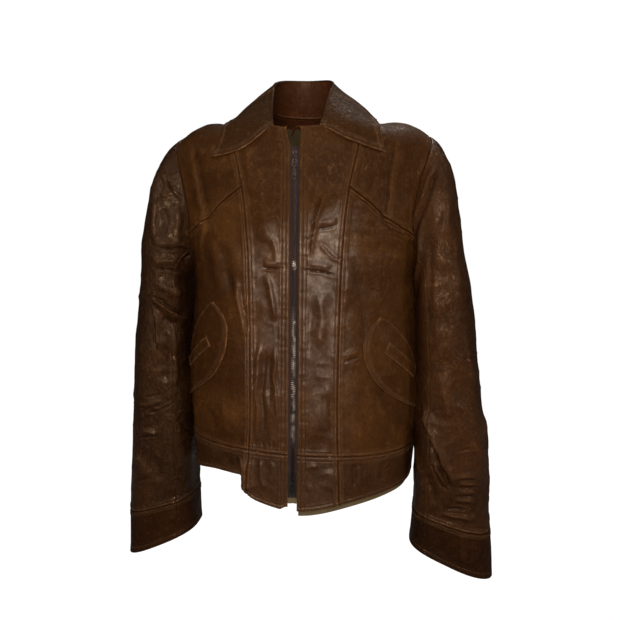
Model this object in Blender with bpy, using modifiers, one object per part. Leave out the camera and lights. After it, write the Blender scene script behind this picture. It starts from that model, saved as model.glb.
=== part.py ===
"""Zip-front leather blouson: collar, yokes, princess-seamed body, waistband,
two-piece sleeves, metal zip, linings and hang loop, as separate panels.

Metres, +Z up. The jacket faces -Y and the wearer's left is +X. All panels are
laid out in a cutting frame whose z = 0 is the hem at the centre front, then
moved so that the bearing face of the hang loop is the world origin.
"""

import math

import bmesh
import bpy
import numpy as np
from mathutils import Vector

# ---------------------------------------------------------------- dimensions
LEATHER = 0.0014  # shell leather
BAND_LEATHER = 0.0024  # waistband and cuffs are doubled
LINING = 0.0008
SEAM = 0.00035  # every panel stops this far short of its seam line
HANG_ORIGIN = (0.0, 0.046, 0.574)  # bearing face of the hang loop, in the cutting frame

# body rings: t, side height, half width, front height, back height, back depth
RINGS = (
    (0.00, 0.036, 0.172, 0.000, 0.028, 0.118),
    (0.15, 0.090, 0.176, 0.085, 0.090, 0.122),
    (0.35, 0.190, 0.178, 0.188, 0.190, 0.126),
    (0.60, 0.335, 0.1715, 0.325, 0.335, 0.134),
    (0.70, 0.400, 0.182, 0.390, 0.400, 0.136),
    (0.80, 0.475, 0.197, 0.450, 0.468, 0.130),
    (0.87, 0.533, 0.203, 0.492, 0.518, 0.118),
    (0.92, 0.562, 0.180, 0.519, 0.548, 0.104),
    (0.96, 0.583, 0.128, 0.543, 0.572, 0.088),
    (1.00, 0.602, 0.072, 0.563, 0.590, 0.070),
)
FRONT_DEPTH_HEM = 0.137  # the zip line is straight and leans back this much per metre
FRONT_LEAN = 0.063
HEM_TILT = 0.045  # the hem hangs lower on the wearer's left

BAND_TOP = 0.15  # t of the waistband seam
ARM_LOW, ARM_TOP = 0.62, 0.905  # t of the armpit and of the shoulder point
ARM_OPEN = math.radians(21)
NECK_TOP = 1.0
PRINCESS = ((0.0, 27.5), (0.30, 27.5), (0.60, 30.5), (0.74, 33.5), (0.83, 37.0), (0.91, 42.5), (1.0, 48.0))
BACK_PRINCESS = 148.0
BACK_YOKE = 0.80
# front yoke seam: share of the way from princess seam to armhole, t
YOKE = ((0.0, 0.830), (0.33, 0.794), (0.62, 0.752), (1.0, 0.712))
FACING = ((0.0, 22.0), (0.6, 24.0), (0.83, 29.0), (1.0, 40.0))

# sleeve lines: s, outer x and z, inner x and z, half depth, middle y
SLEEVE = (
    (0.00, 0.1920, 0.556, 0.1600, 0.348, 0.072, 0.000),
    (0.05, 0.2170, 0.542, 0.1705, 0.342, 0.080, 0.000),
    (0.09, 0.2335, 0.514, 0.1765, 0.335, 0.084, 0.000),
    (0.15, 0.2450, 0.462, 0.1800, 0.320, 0.088, -0.001),
    (0.24, 0.2540, 0.395, 0.1810, 0.295, 0.088, -0.002),
    (0.36, 0.2650, 0.310, 0.1825, 0.250, 0.084, -0.005),
    (0.57, 0.2770, 0.160, 0.1818, 0.145, 0.074, -0.011),
    (0.79, 0.2860, 0.000, 0.1790, 0.022, 0.061, -0.019),
    (1.00, 0.2900, -0.128, 0.1740, -0.074, 0.050, -0.027),
)
SLEEVE_DROP = {1: 0.003, -1: -0.004}  # the wearer's left sleeve hangs a little lower
# the wearer's left sleeve is slimmer above the elbow and stands out further below it
SLEEVE_SWAY = {-1: ((0, 0.0), (1, 0.0)),
               1: ((0, 0.0), (0.05, -0.003), (0.09, -0.007), (0.15, -0.009), (0.24, -0.009), (0.36, -0.005),
                   (0.57, 0.002), (0.79, 0.009), (1.0, 0.013))}
CUFF = 0.875
SLEEVE_GAP = 0.0016
TOP_SLEEVE = 125.0  # the top sleeve covers this many degrees each way

# zip, measured along its line from z = 0 and across it
ZIP_LOW, ZIP_HIGH = 0.044, 0.524
TOOTH_PITCH = 0.005
TAPE_IN, TAPE_OUT = 0.0036, 0.0180
LEATHER_EDGE = 0.0068  # the front panels stop this far from the middle
SLIDER_AT = 0.5120
TAPE_LIFT = -0.0023  # the tape's middle, against the leather's outer face

COLOURS = {
    "leather": ((0.060, 0.028, 0.013), 0.42, 0.0),
    "leather_light": ((0.090, 0.044, 0.020), 0.45, 0.0),
    "lining": ((0.105, 0.090, 0.055), 0.70, 0.0),
    "tape": ((0.060, 0.042, 0.038), 0.85, 0.0),
    "metal": ((0.30, 0.28, 0.25), 0.35, 1.0),
    "dark_metal": ((0.05, 0.05, 0.05), 0.45, 1.0),
}


# ------------------------------------------------------------------ surfaces
def spline(t, ts, vs):
    """Cubic through the knots, with slopes from their neighbours."""
    ts, vs = np.asarray(ts, float), np.asarray(vs, float)
    t = np.clip(np.asarray(t, float), ts[0], ts[-1])
    m = np.empty_like(vs)
    m[1:-1] = (vs[2:] - vs[:-2]) / (ts[2:] - ts[:-2])
    m[0] = (vs[1] - vs[0]) / (ts[1] - ts[0])
    m[-1] = (vs[-1] - vs[-2]) / (ts[-1] - ts[-2])
    i = np.clip(np.searchsorted(ts, t, side="right") - 1, 0, len(ts) - 2)
    h = ts[i + 1] - ts[i]
    x = (t - ts[i]) / h
    return (
        (1 + 2 * x) * (1 - x) ** 2 * vs[i]
        + x * (1 - x) ** 2 * h * m[i]
        + x * x * (3 - 2 * x) * vs[i + 1]
        + x * x * (x - 1) * h * m[i + 1]
    )


def column(table, k):
    return [row[k] for row in table]


def along(table, t):
    return spline(t, column(table, 0), column(table, 1))


def front_depth(z):
    return FRONT_DEPTH_HEM - FRONT_LEAN * (z - 0.03)


def torso(phi, t):
    """Point of the body's outer face: phi is 0 at the centre front and 90 degrees
    at the wearer's left side, t is 0 at the hem and 1 at the neck seam."""
    phi, t = np.broadcast_arrays(np.asarray(phi, float), np.asarray(t, float))
    zs, a, zf, zb, bb = (spline(t, column(RINGS, 0), column(RINGS, k)) for k in range(1, 6))
    s, c = np.sin(phi), np.cos(phi)
    b = np.where(c > 0, front_depth(zf), bb)
    n = 2.6 - 0.4 * np.clip((t - 0.7) / 0.3, 0, 1)
    r = ((np.abs(s) / a) ** n + (np.abs(c) / b) ** n) ** (-1 / n)
    # near the hem the middle hangs lower than the sides over a narrower stretch
    z = zs + (np.where(c > 0, zf, zb) - zs) * np.abs(c) ** (4.0 - 2.4 * np.clip(t / 0.3, 0, 1))
    x = r * s
    z = z - HEM_TILT * x * np.clip(1 - t / 0.6, 0, 1)
    return np.stack([x, -r * c, z], -1)


def armhole(angle):
    """(phi, t) of the wearer's left armhole: 0 is the shoulder point, 90 degrees the
    front, 180 the armpit."""
    t = (ARM_LOW + ARM_TOP) / 2 + (ARM_TOP - ARM_LOW) / 2 * np.cos(angle)
    return math.pi / 2 - ARM_OPEN * np.sin(angle), t


def arm_opening(t):
    c = (np.asarray(t, float) - (ARM_LOW + ARM_TOP) / 2) / ((ARM_TOP - ARM_LOW) / 2)
    return ARM_OPEN * np.sqrt(np.clip(1 - c * c, 0, 1))


def sleeve(angle, s, side=1):
    """Point of a sleeve's outer face, drawn on the +X side. angle is 0 on the outer line and
    90 degrees at the front; s is 0 at the armhole and 1 at the cuff's edge."""
    angle, s = np.broadcast_arrays(np.asarray(angle, float), np.asarray(s, float))
    ox, oz, ix, iz, d, cy = (spline(s, column(SLEEVE, 0), column(SLEEVE, k)) for k in range(1, 7))
    ox = ox + along(SLEEVE_SWAY[side], s)
    c, q = np.cos(angle), np.sin(angle)
    # squarer on the inner side, where the sleeve lies against the body
    n = np.where(c > 0, 2.2, 2.2 + 0.9 * np.clip(-c * 3, 0, 1))
    r = (np.abs(c) ** n + np.abs(q) ** n) ** (-1 / n)
    c, q = c * r, q * r
    x = (ox + ix) / 2 + (ox - ix) / 2 * c
    z = (oz + iz) / 2 + (oz - iz) / 2 * c
    y = cy - d * q
    ring = np.stack([x, y, z], -1)
    hole = torso(*armhole(angle))
    hole[..., 0] += SLEEVE_GAP
    w = np.clip(s / 0.13, 0, 1)
    w = (w * w * (3 - 2 * w))[..., None]
    return hole * (1 - w) + ring * w


def normals(f, u, v, e=1e-4):
    a = f(u + e, v) - f(u - e, v)
    b = f(u, v + e) - f(u, v - e)
    n = np.cross(a, b)
    return n / np.linalg.norm(n, axis=-1, keepdims=True)


def on_torso(phi, t, lift=0.0):
    t = np.clip(t, 0.002, 0.998)
    return torso(phi, t) + lift * normals(torso, phi, t)


def zip_frame():
    along_zip = np.array([0.0, FRONT_LEAN, 1.0])
    along_zip /= np.linalg.norm(along_zip)
    out = np.array([0.0, -1.0, FRONT_LEAN])
    return along_zip, out / np.linalg.norm(out)


def on_zip(x, z, lift):
    """x across the zip, z as a height, lift outward from the leather's face."""
    x, z, lift = np.broadcast_arrays(*(np.asarray(k, float) for k in (x, z, lift)))
    base = np.stack([x, -front_depth(z), z], -1)
    return base + lift[..., None] * zip_frame()[1]


# ------------------------------------------------------------------- scene
for old in list(bpy.data.objects):
    bpy.data.objects.remove(old, do_unlink=True)
scene = bpy.context.scene
parts = bpy.data.collections.new("leather_jacket")
scene.collection.children.link(parts)
cutters = bpy.data.collections.new("cutters")
scene.collection.children.link(cutters)
cutters.hide_render = True


def material(name, kind):
    colour, roughness, metallic = COLOURS[kind]
    made = bpy.data.materials.new(name)
    made.use_nodes = True
    bsdf = made.node_tree.nodes["Principled BSDF"]
    bsdf.inputs["Base Color"].default_value = (*colour, 1)
    bsdf.inputs["Roughness"].default_value = roughness
    bsdf.inputs["Metallic"].default_value = metallic
    made.diffuse_color = (*colour, 1)
    return made


def add(name, mesh, kind, smooth=True, origin=None):
    """Puts a mesh, given in the cutting frame, into the jacket in world metres."""
    start = Vector(origin or HANG_ORIGIN)
    for vertex in mesh.vertices:
        vertex.co -= start
    obj = bpy.data.objects.new(name, mesh)
    obj.location = start - Vector(HANG_ORIGIN)
    mesh.materials.append(material(name + "_finish", kind))
    if smooth:
        mesh.shade_smooth()
        mesh.set_sharp_from_angle(angle=math.radians(40))
    parts.objects.link(obj)
    return obj


def grid_mesh(name, points, outward, ring=False):
    """A grid of create_grid whose vertices are laid on points[i, j]. outward holds the
    wished normal at each point. ring joins the first and last rows of i."""
    ni, nj = points.shape[:2]
    bm = bmesh.new()
    bmesh.ops.create_grid(bm, x_segments=ni - 1, y_segments=nj - 1, size=0.5)
    score = 0.0
    for v in bm.verts:
        i = round((v.co.x + 0.5) * (ni - 1))
        j = round((v.co.y + 0.5) * (nj - 1))
        v.co = points[i, j]
        v.normal = outward[i, j]
    wished = {v: Vector(v.normal) for v in bm.verts}
    if ring:
        bmesh.ops.remove_doubles(bm, verts=bm.verts[:], dist=1e-6)
        wished = {v: wished[v] for v in bm.verts}
    for face in bm.faces:
        face.normal_update()
        score += sum(face.normal.dot(wished[v]) for v in face.verts)
    if score < 0:
        bmesh.ops.reverse_faces(bm, faces=bm.faces[:])
    mesh = bpy.data.meshes.new(name)
    bm.to_mesh(mesh)
    bm.free()
    return mesh


def pull_in(points, sides, gap=SEAM):
    """Moves the named borders of a grid inward along the surface."""
    out = points.copy()

    def shift(edge, inner):
        way = inner - edge
        return edge + way / np.linalg.norm(way, axis=-1, keepdims=True) * gap

    if "a" in sides:
        out[0] = shift(points[0], points[1])
    if "b" in sides:
        out[-1] = shift(points[-1], points[-2])
    base = out.copy()
    if "c" in sides:
        out[:, 0] = shift(base[:, 0], base[:, 1])
    if "d" in sides:
        out[:, -1] = shift(base[:, -1], base[:, -2])
    return out


def shell(name, points, outward, kind, thick=LEATHER, side=1, sides="abcd", ring=False, gap=SEAM, origin=None):
    """A panel: an open sheet on its outer face, thickened inward."""
    points = pull_in(points, "cd" if ring else sides, gap)
    flip = np.array([side, 1, 1])
    mesh = grid_mesh(name, points * flip, outward * flip, ring)
    obj = add(name, mesh, kind, origin=origin)
    solid = obj.modifiers.new("thickness", "SOLIDIFY")
    solid.thickness = thick
    solid.offset = -1
    return obj


def torso_panel(name, phi, t, kind, lift=0.0, thick=LEATHER, side=1, gap=SEAM, sides="abcd"):
    """phi and t are 2-D arrays of the panel's grid on the body surface."""
    t = np.clip(t, 0.002, 0.998)
    phi = side * phi
    out = normals(torso, phi, t)
    points = torso(phi, t) + lift * out
    return shell(name, points, out, kind, thick, 1, sides, gap=gap)


def mix(a, b, f):
    return a + (b - a) * f


# ---------------------------------------------------------------- row heights
LOW_ROWS = np.array([BAND_TOP, 0.235, 0.33, 0.43, 0.53, ARM_LOW])
TOP_ROWS = np.array([0.937, 0.968, NECK_TOP])


def lower_rows(yoke_t):
    """t of each row from the waistband to the yoke seam, for one column."""
    return np.concatenate([LOW_ROWS, ARM_LOW + (yoke_t - ARM_LOW) * np.array([0.34, 0.67, 1.0])])


def upper_rows(yoke_t):
    return np.concatenate([yoke_t + (ARM_TOP - yoke_t) * np.array([0, 0.3, 0.55, 0.75, 0.9, 1.0]), TOP_ROWS])


def columns_between(shares, rows_of, left, right, yoke_of):
    """phi and t arrays for a panel between two seam curves."""
    t = np.array([rows_of(yoke_of(u)) for u in shares])
    u = np.asarray(shares)[:, None]
    return mix(left(t), right(t), u), t


def princess(t):
    return np.radians(along(PRINCESS, t))


def centre_edge(t):
    """phi where the front panel stops beside the zip."""
    t = np.asarray(t, float)
    return np.arctan2(LEATHER_EDGE, front_depth(spline(t, column(RINGS, 0), column(RINGS, 3))))


def arm_front(t):
    return math.pi / 2 - arm_opening(t)


def arm_back(t):
    return math.pi / 2 + arm_opening(t)


def yoke_t(u):
    return float(along(YOKE, u))


def flat(value):
    return lambda u: value


def band(lo, hi, steps):
    return np.linspace(lo, hi, steps)


def sides():
    return (("left", 1), ("right", -1))


# ------------------------------------------------------------- front panels
# the panel edge beside the zip stays a true distance from the middle, so its
# rows come from the middle outward in plain steps
for word, side in sides():
    shares = np.array([0.0, 0.18, 0.42, 0.70, 1.0])
    rows = np.concatenate([lower_rows(yoke_t(0)), upper_rows(yoke_t(0))[1:]])
    phi, t = columns_between(shares, lambda _: rows, centre_edge, princess, flat(0))
    torso_panel(f"{word}_centre_front", phi, t, "leather", side=side)

    shares = np.linspace(0, 1, 9)
    phi, t = columns_between(shares, lower_rows, princess, arm_front, yoke_t)
    torso_panel(f"{word}_side_front", phi, t, "leather", side=side)
    phi, t = columns_between(shares, upper_rows, princess, arm_front, yoke_t)
    torso_panel(f"{word}_front_yoke", phi, t, "leather", side=side)

    # facing behind the zip, and the front lining beside it
    rows_in = np.concatenate([[BAND_TOP + 0.012], LOW_ROWS[1:], [0.69, 0.76, 0.82, 0.86, 0.885, 0.905, 0.925, 0.95, 0.978]])
    shares = np.linspace(0, 1, 4)
    edge = np.arctan2(0.0079, 0.13)
    phi = mix(np.full(len(rows_in), edge), np.radians(along(FACING, rows_in)), shares[:, None])
    torso_panel(f"{word}_front_facing", phi, np.broadcast_to(rows_in, phi.shape), "leather_light",
                lift=-0.0042, thick=0.0010, side=side)
    shares = np.linspace(0, 1, 9)
    start = np.radians(along(FACING, rows_in) + 0.8)
    phi = mix(start, arm_front(rows_in) - 0.006, shares[:, None])
    torso_panel(f"{word}_front_lining", phi, np.broadcast_to(rows_in, phi.shape), "lining",
                lift=-0.0066, thick=LINING, side=side)

# ------------------------------------------------------------------- back
side_shares = np.linspace(0, 1, 7)
mid_shares = np.linspace(0, 1, 7)


def back_seam(t):
    return np.full_like(np.asarray(t, float), math.radians(BACK_PRINCESS))


def back_seam_far(t):
    return 2 * math.pi - back_seam(t)


for word, side in sides():
    phi, t = columns_between(side_shares, lower_rows, arm_back, back_seam, flat(BACK_YOKE))
    torso_panel(f"{word}_back_side", phi, t, "leather", side=side)
phi, t = columns_between(mid_shares, lower_rows, back_seam, back_seam_far, flat(BACK_YOKE))
torso_panel("back_centre", phi, t, "leather")

near, t_near = columns_between(side_shares, upper_rows, arm_back, back_seam, flat(BACK_YOKE))
middle, t_mid = columns_between(mid_shares, upper_rows, back_seam, back_seam_far, flat(BACK_YOKE))
phi = np.concatenate([near, middle[1:-1], (2 * math.pi - near)[::-1]])
t = np.concatenate([t_near, t_mid[1:-1], t_near[::-1]])
torso_panel("back_yoke", phi, t, "leather")

rows_in = np.concatenate([[BAND_TOP + 0.012], LOW_ROWS[1:], [0.69, 0.76, 0.82, 0.86, 0.885, 0.905, 0.93, 0.955]])
shares = np.linspace(0, 1, 17)
start = arm_back(rows_in) + 0.006
phi = mix(start, 2 * math.pi - start, shares[:, None])
torso_panel("back_lining", phi, np.broadcast_to(rows_in, phi.shape), "lining", lift=-0.0066, thick=LINING)

shares = np.linspace(0, 1, 9)
rows_in = np.array([0.963, 0.978, 0.992])
phi = mix(np.full(3, math.radians(118.0)), np.full(3, math.radians(242.0)), shares[:, None])
torso_panel("back_neck_facing", phi, np.broadcast_to(rows_in, phi.shape), "leather_light", lift=-0.0030, thick=0.0010)

# --------------------------------------------------------------- waistband
band_rows = np.array([0.0, 0.05, 0.10, BAND_TOP])


def quarter(t):
    return np.full_like(np.asarray(t, float), math.pi / 2)


for word, side in sides():
    phi, t = columns_between(np.array([0, 0.3, 0.65, 1]), lambda _: band_rows, centre_edge, princess, flat(0))
    torso_panel(f"{word}_waistband_front", phi, t, "leather", lift=0.0010, thick=BAND_LEATHER, side=side, gap=0.0005)
    phi, t = columns_between(np.linspace(0, 1, 8), lambda _: band_rows, princess, quarter, flat(0))
    torso_panel(f"{word}_waistband_side", phi, t, "leather", lift=0.0010, thick=BAND_LEATHER, side=side, gap=0.0005)
phi = mix(math.pi / 2, 3 * math.pi / 2, np.linspace(0, 1, 15))[:, None] + 0 * band_rows
torso_panel("waistband_back", phi, np.broadcast_to(band_rows, phi.shape), "leather", lift=0.0010,
            thick=BAND_LEATHER, gap=0.0005)

# ----------------------------------------------------------------- pockets
LEAF_FRONT = ((0.0, 52.0, 0.560), (0.16, 44.6, 0.520), (0.34, 42.4, 0.468), (0.52, 44.6, 0.410),
              (0.72, 51.5, 0.350), (0.88, 64.0, 0.300), (1.0, 76.0, 0.268))
LEAF_BACK = ((0.0, 54.5, 0.556), (0.16, 60.0, 0.530), (0.34, 66.5, 0.490), (0.52, 72.5, 0.442),
             (0.72, 77.5, 0.382), (0.88, 79.5, 0.320), (1.0, 79.0, 0.272))
WELT_A, WELT_B = (54.5, 0.452), (73.5, 0.372)  # ends of the welt's middle line
LEAF_DROP = {1: 0.03, -1: 0.0}  # the top of the wearer's left patch sits a little lower


def leaf(v, u):
    """(phi, t) of the pocket patch: v runs down it and u across it."""
    ks = column(LEAF_FRONT, 0)
    f = [np.radians(spline(v, ks, column(LEAF_FRONT, 1))), spline(v, ks, column(LEAF_FRONT, 2))]
    b = [np.radians(spline(v, ks, column(LEAF_BACK, 1))), spline(v, ks, column(LEAF_BACK, 2))]
    return mix(f[0], b[0], u), mix(f[1], b[1], u)


for word, side in sides():
    v, u = np.meshgrid(np.linspace(0, 1, 13), np.linspace(0, 1, 7), indexing="ij")
    phi, t = leaf(v, u)
    t = t - LEAF_DROP[side] * (1 - v)
    torso_panel(f"{word}_pocket_patch", phi, t, "leather_light", lift=0.0027, thick=0.0012, side=side, sides="")
    # the welt is a narrow raised strip across the patch
    v, u = np.meshgrid(np.linspace(0, 1, 7), np.linspace(-1, 1, 3), indexing="ij")
    phi = np.radians(mix(WELT_A[0], WELT_B[0], v) + 1.5 * u)
    t = mix(WELT_A[1], WELT_B[1], v) + 0.013 * u
    torso_panel(f"{word}_pocket_welt", phi, t, "leather", lift=0.0048, thick=0.0014, side=side, sides="")
    # pocket bag between shell and lining
    v, u = np.meshgrid(np.linspace(0, 1, 6), np.linspace(0, 1, 7), indexing="ij")
    phi = np.radians(mix(38.0, 80.0, u))
    t = mix(0.185, 0.46, v) - 0.05 * (1 - v) * 0
    torso_panel(f"{word}_pocket_bag", phi, t, "lining", lift=-0.0028, thick=0.0018, side=side, sides="")

# ------------------------------------------------------------------ collar
COLLAR_FRONT = 28.0  # degrees from the middle where the collar starts
COLLAR_SEAM = 76.0  # where its leaves are joined
# outer edge of the leaf: angle on the neck seam, then phi and t on the body
LEAF_EDGE = ((28.0, 51.5, 0.874), (48.0, 62.0, 0.926), (70.0, 73.5, 0.962), (95.0, 92.0, 0.970),
             (125.0, 122.0, 0.962), (155.0, 152.0, 0.952), (180.0, 180.0, 0.948))
# fold line: angle, x, y, z
FOLD = ((28.0, 0.0440, -0.0880, 0.5670), (48.0, 0.0485, -0.0640, 0.5900), (70.0, 0.0490, -0.0350, 0.6120),
        (95.0, 0.0475, -0.0030, 0.6270), (125.0, 0.0400, 0.0280, 0.6350), (155.0, 0.0220, 0.0480, 0.6390),
        (180.0, 0.0, 0.0540, 0.6400))


def collar_base(angle):
    """Where the collar leaves the neck seam, just above the body panels."""
    return on_torso(np.radians(angle), 0.998, 0.0006) + np.array([0, 0, 0.0012])


def full_turn(table, angle, k, odd):
    """A table given for one half, read at any angle from 28 to 332 degrees."""
    half = np.where(angle > 180, 360 - angle, angle)
    value = spline(half, column(table, 0), column(table, k))
    return np.where(angle > 180, -value, value) if odd else value


def fold_line(angle):
    return np.stack([full_turn(FOLD, angle, 1, True), full_turn(FOLD, angle, 2, False),
                     full_turn(FOLD, angle, 3, False)], -1)


def collar_leaf(angle, v, lift):
    """v is 0 on the fold line and 1 on the leaf's outer edge."""
    half = np.where(angle > 180, 360 - angle, angle)
    edge_phi = spline(half, column(LEAF_EDGE, 0), column(LEAF_EDGE, 1))
    edge_phi = np.radians(np.where(angle > 180, 360 - edge_phi, edge_phi))
    edge_t = spline(half, column(LEAF_EDGE, 0), column(LEAF_EDGE, 2))
    phi = mix(np.radians(angle), edge_phi, v)
    t = mix(0.996, edge_t, v)
    rise = fold_line(angle) - torso(np.radians(angle), 0.996)
    fade = ((1 - v) ** 1.6)[..., None]
    base = torso(phi, t)
    out = normals(torso, phi, t)
    return base + rise * fade + out * (lift + 0.0016 * np.sin(math.pi * v)[..., None])


def collar_out(angle, v, lift):
    f = lambda a, b: collar_leaf(a, np.clip(b, 0, 1), lift)
    a = f(angle + 0.2, v) - f(angle - 0.2, v)
    b = f(angle, np.minimum(v + 0.01, 1)) - f(angle, np.maximum(v - 0.01, 0))
    n = np.cross(a, -b)
    return n / np.linalg.norm(n, axis=-1, keepdims=True)


def collar_panel(name, angles, lift, thick, kind, v0=0.0):
    angle, v = np.meshgrid(angles, np.linspace(v0, 1, 7), indexing="ij")
    shell(name, collar_leaf(angle, v, lift), collar_out(angle, v, lift), kind, thick, gap=0.0004)


collar_panel("collar_left_leaf", np.linspace(COLLAR_FRONT, COLLAR_SEAM, 9), 0.0058, LEATHER, "leather")
collar_panel("collar_back_leaf", np.linspace(COLLAR_SEAM, 360 - COLLAR_SEAM, 21), 0.0058, LEATHER, "leather")
collar_panel("collar_right_leaf", np.linspace(360 - COLLAR_SEAM, 360 - COLLAR_FRONT, 9), 0.0058, LEATHER, "leather")
collar_panel("undercollar", np.concatenate([np.linspace(COLLAR_FRONT + 1, COLLAR_SEAM, 9),
                                            np.linspace(COLLAR_SEAM, 360 - COLLAR_SEAM, 21)[1:-1],
                                            np.linspace(360 - COLLAR_SEAM, 359 - COLLAR_FRONT, 9)]),
             0.0028, 0.0012, "leather_light", v0=0.10)

# the stand rises from the neck seam to just under the fold, inside the leaf
angles = np.linspace(COLLAR_FRONT + 4, 356 - COLLAR_FRONT, 27)
angle, v = np.meshgrid(angles, np.linspace(0, 1, 4), indexing="ij")
foot = on_torso(np.radians(angle), 0.996, -0.0040) + np.array([0, 0, 0.0016])
head = fold_line(angle)
inward = np.stack([-np.sin(np.radians(angle)), np.cos(np.radians(angle)), 0 * angle], -1)
points = mix(foot, head + 0.0032 * inward + np.array([0, 0, -0.0006]), v[..., None] * 0.94)
points = points + 0.0030 * np.sin(math.pi * v)[..., None] * inward
shell("collar_stand", points, -inward, "leather_light", 0.0012, gap=0.0004)

# ------------------------------------------------------------------ sleeves
ROWS = np.array([0.0, 0.025, 0.05, 0.08, 0.115, 0.16, 0.22, 0.30, 0.40, 0.51, 0.63, 0.75, CUFF])


def sleeve_grid(angles, rows, lift, side):
    angle, s = np.meshgrid(np.radians(angles), rows, indexing="ij")
    shape = lambda a, b: sleeve(a, b, side)
    out = normals(shape, angle, np.clip(s, 0.002, 0.998))
    points = shape(angle, s)
    # the armhole edge keeps to the armhole plane, so only the later rows take the lift
    fade = np.clip(s / 0.05, 0, 1)[..., None]
    points = points + out * lift * fade
    points[..., 2] -= SLEEVE_DROP[side] * np.clip((s - 0.1) / 0.9, 0, 1)
    return points, out


for word, side in sides():
    shoulder = torso(*armhole(np.array(0.0))) * np.array([side, 1, 1])
    hinge = (float(shoulder[0]) + side * SLEEVE_GAP, 0.0, float(shoulder[2]))
    top_angles = np.linspace(-TOP_SLEEVE, TOP_SLEEVE, 15)
    points, out = sleeve_grid(top_angles, ROWS, 0.0, side)
    shell(f"{word}_top_sleeve", points, out, "leather", side=side, gap=0.0010, origin=hinge)
    under_angles = np.linspace(TOP_SLEEVE, 360 - TOP_SLEEVE, 7)
    points, out = sleeve_grid(under_angles, ROWS, 0.0, side)
    shell(f"{word}_under_sleeve", points, out, "leather", side=side, gap=0.0010, origin=hinge)
    ring_angles = np.concatenate([top_angles, under_angles[1:]])
    cuff_rows = np.array([CUFF, 0.915, 0.955, 1.0])
    points, out = sleeve_grid(ring_angles, cuff_rows, 0.0005, side)
    shell(f"{word}_cuff", points, out, "leather", BAND_LEATHER, side=side, ring=True, gap=0.0006, origin=hinge)
    lining_rows = np.array([0.03, 0.06, 0.10, 0.15, 0.22, 0.31, 0.42, 0.55, 0.70, 0.85, 0.965])
    points, out = sleeve_grid(ring_angles, lining_rows, -0.0052, side)
    shell(f"{word}_sleeve_lining", points, out, "lining", LINING, side=side, ring=True, origin=hinge)


# ---------------------------------------------------------------------- zip
def box_mesh(name, x, z, lift):
    """A box in zip coordinates, each given as (low, high)."""
    bm = bmesh.new()
    bmesh.ops.create_cube(bm, size=2.0)
    for v in bm.verts:
        at = [mix(r[0], r[1], (c + 1) / 2) for r, c in ((x, v.co.x), (lift, v.co.y), (z, v.co.z))]
        v.co = on_zip(at[0], at[2], at[1])
    bm.normal_update()
    bmesh.ops.recalc_face_normals(bm, faces=bm.faces[:])
    mesh = bpy.data.meshes.new(name)
    bm.to_mesh(mesh)
    bm.free()
    return mesh


def merged(obj, meshes):
    """Joins boxes to an object with Boolean unions."""
    for k, mesh in enumerate(meshes):
        for vertex in mesh.vertices:
            vertex.co -= Vector(HANG_ORIGIN) + obj.location
        other = bpy.data.objects.new(f"{obj.name}_join_{k}", mesh)
        other.location = obj.location
        other.hide_render = True
        other.display_type = "WIRE"
        cutters.objects.link(other)
        union = obj.modifiers.new(f"join_{k}", "BOOLEAN")
        union.operation = "UNION"
        union.object = other
    return obj


def cut(obj, meshes):
    merged(obj, meshes)
    for modifier in obj.modifiers:
        if modifier.type == "BOOLEAN":
            modifier.operation = "DIFFERENCE"
    return obj


for word, side in sides():
    def across(lo, hi):
        return (lo, hi) if side > 0 else (-hi, -lo)

    add(f"{word}_zip_tape", box_mesh("tape", across(TAPE_IN, TAPE_OUT), (0.012, 0.536),
                                     (TAPE_LIFT - 0.0003, TAPE_LIFT + 0.0003)), "tape", smooth=False)
    # toothed strip: an outline with a saw edge, filled and extruded
    count = round((ZIP_HIGH - ZIP_LOW) / TOOTH_PITCH)
    outline = [(side * 0.0032, 0.0)]
    for k in range(count):
        outline.append((side * 0.0022, k * TOOTH_PITCH))
        outline.append((side * 0.0008, (k + 0.5) * TOOTH_PITCH))
    outline += [(side * 0.0022, count * TOOTH_PITCH), (side * 0.0032, count * TOOTH_PITCH)]
    bm = bmesh.new()
    ring = [bm.verts.new(on_zip(x, ZIP_LOW + z, TAPE_LIFT - 0.0014)) for x, z in outline]
    face = bm.faces.new(ring)
    raised = bmesh.ops.extrude_face_region(bm, geom=[face])
    lift = Vector(zip_frame()[1]) * 0.0028
    for v in raised["geom"]:
        if isinstance(v, bmesh.types.BMVert):
            v.co += lift
    bm.normal_update()
    bmesh.ops.recalc_face_normals(bm, faces=bm.faces[:])
    mesh = bpy.data.meshes.new("teeth")
    bm.to_mesh(mesh)
    bm.free()
    add(f"{word}_zip_teeth", mesh, "metal", smooth=False)
    add(f"{word}_top_stop", box_mesh("stop", across(0.0008, 0.0032), (ZIP_HIGH + 0.0012, ZIP_HIGH + 0.0052),
                                     (TAPE_LIFT - 0.0014, TAPE_LIFT + 0.0014)), "metal", smooth=False)

# the pin is on the wearer's left tape; the box is on the right tape and holds it
PIN = (0.0008, 0.0026)
add("zip_insertion_pin", box_mesh("pin", PIN, (0.0322, ZIP_LOW - 0.0006), (TAPE_LIFT - 0.0009, TAPE_LIFT + 0.0009)),
    "dark_metal", smooth=False)
retainer = add("zip_retaining_box", box_mesh("box", (-0.0033, 0.0033), (0.0290, 0.0400),
                                             (TAPE_LIFT - 0.0024, TAPE_LIFT + 0.0024)), "dark_metal", smooth=False)
cut(retainer, [box_mesh("slot", (PIN[0] - 0.0004, PIN[1] + 0.0004), (0.0312, 0.0450),
                        (TAPE_LIFT - 0.0013, TAPE_LIFT + 0.0013))])

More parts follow.
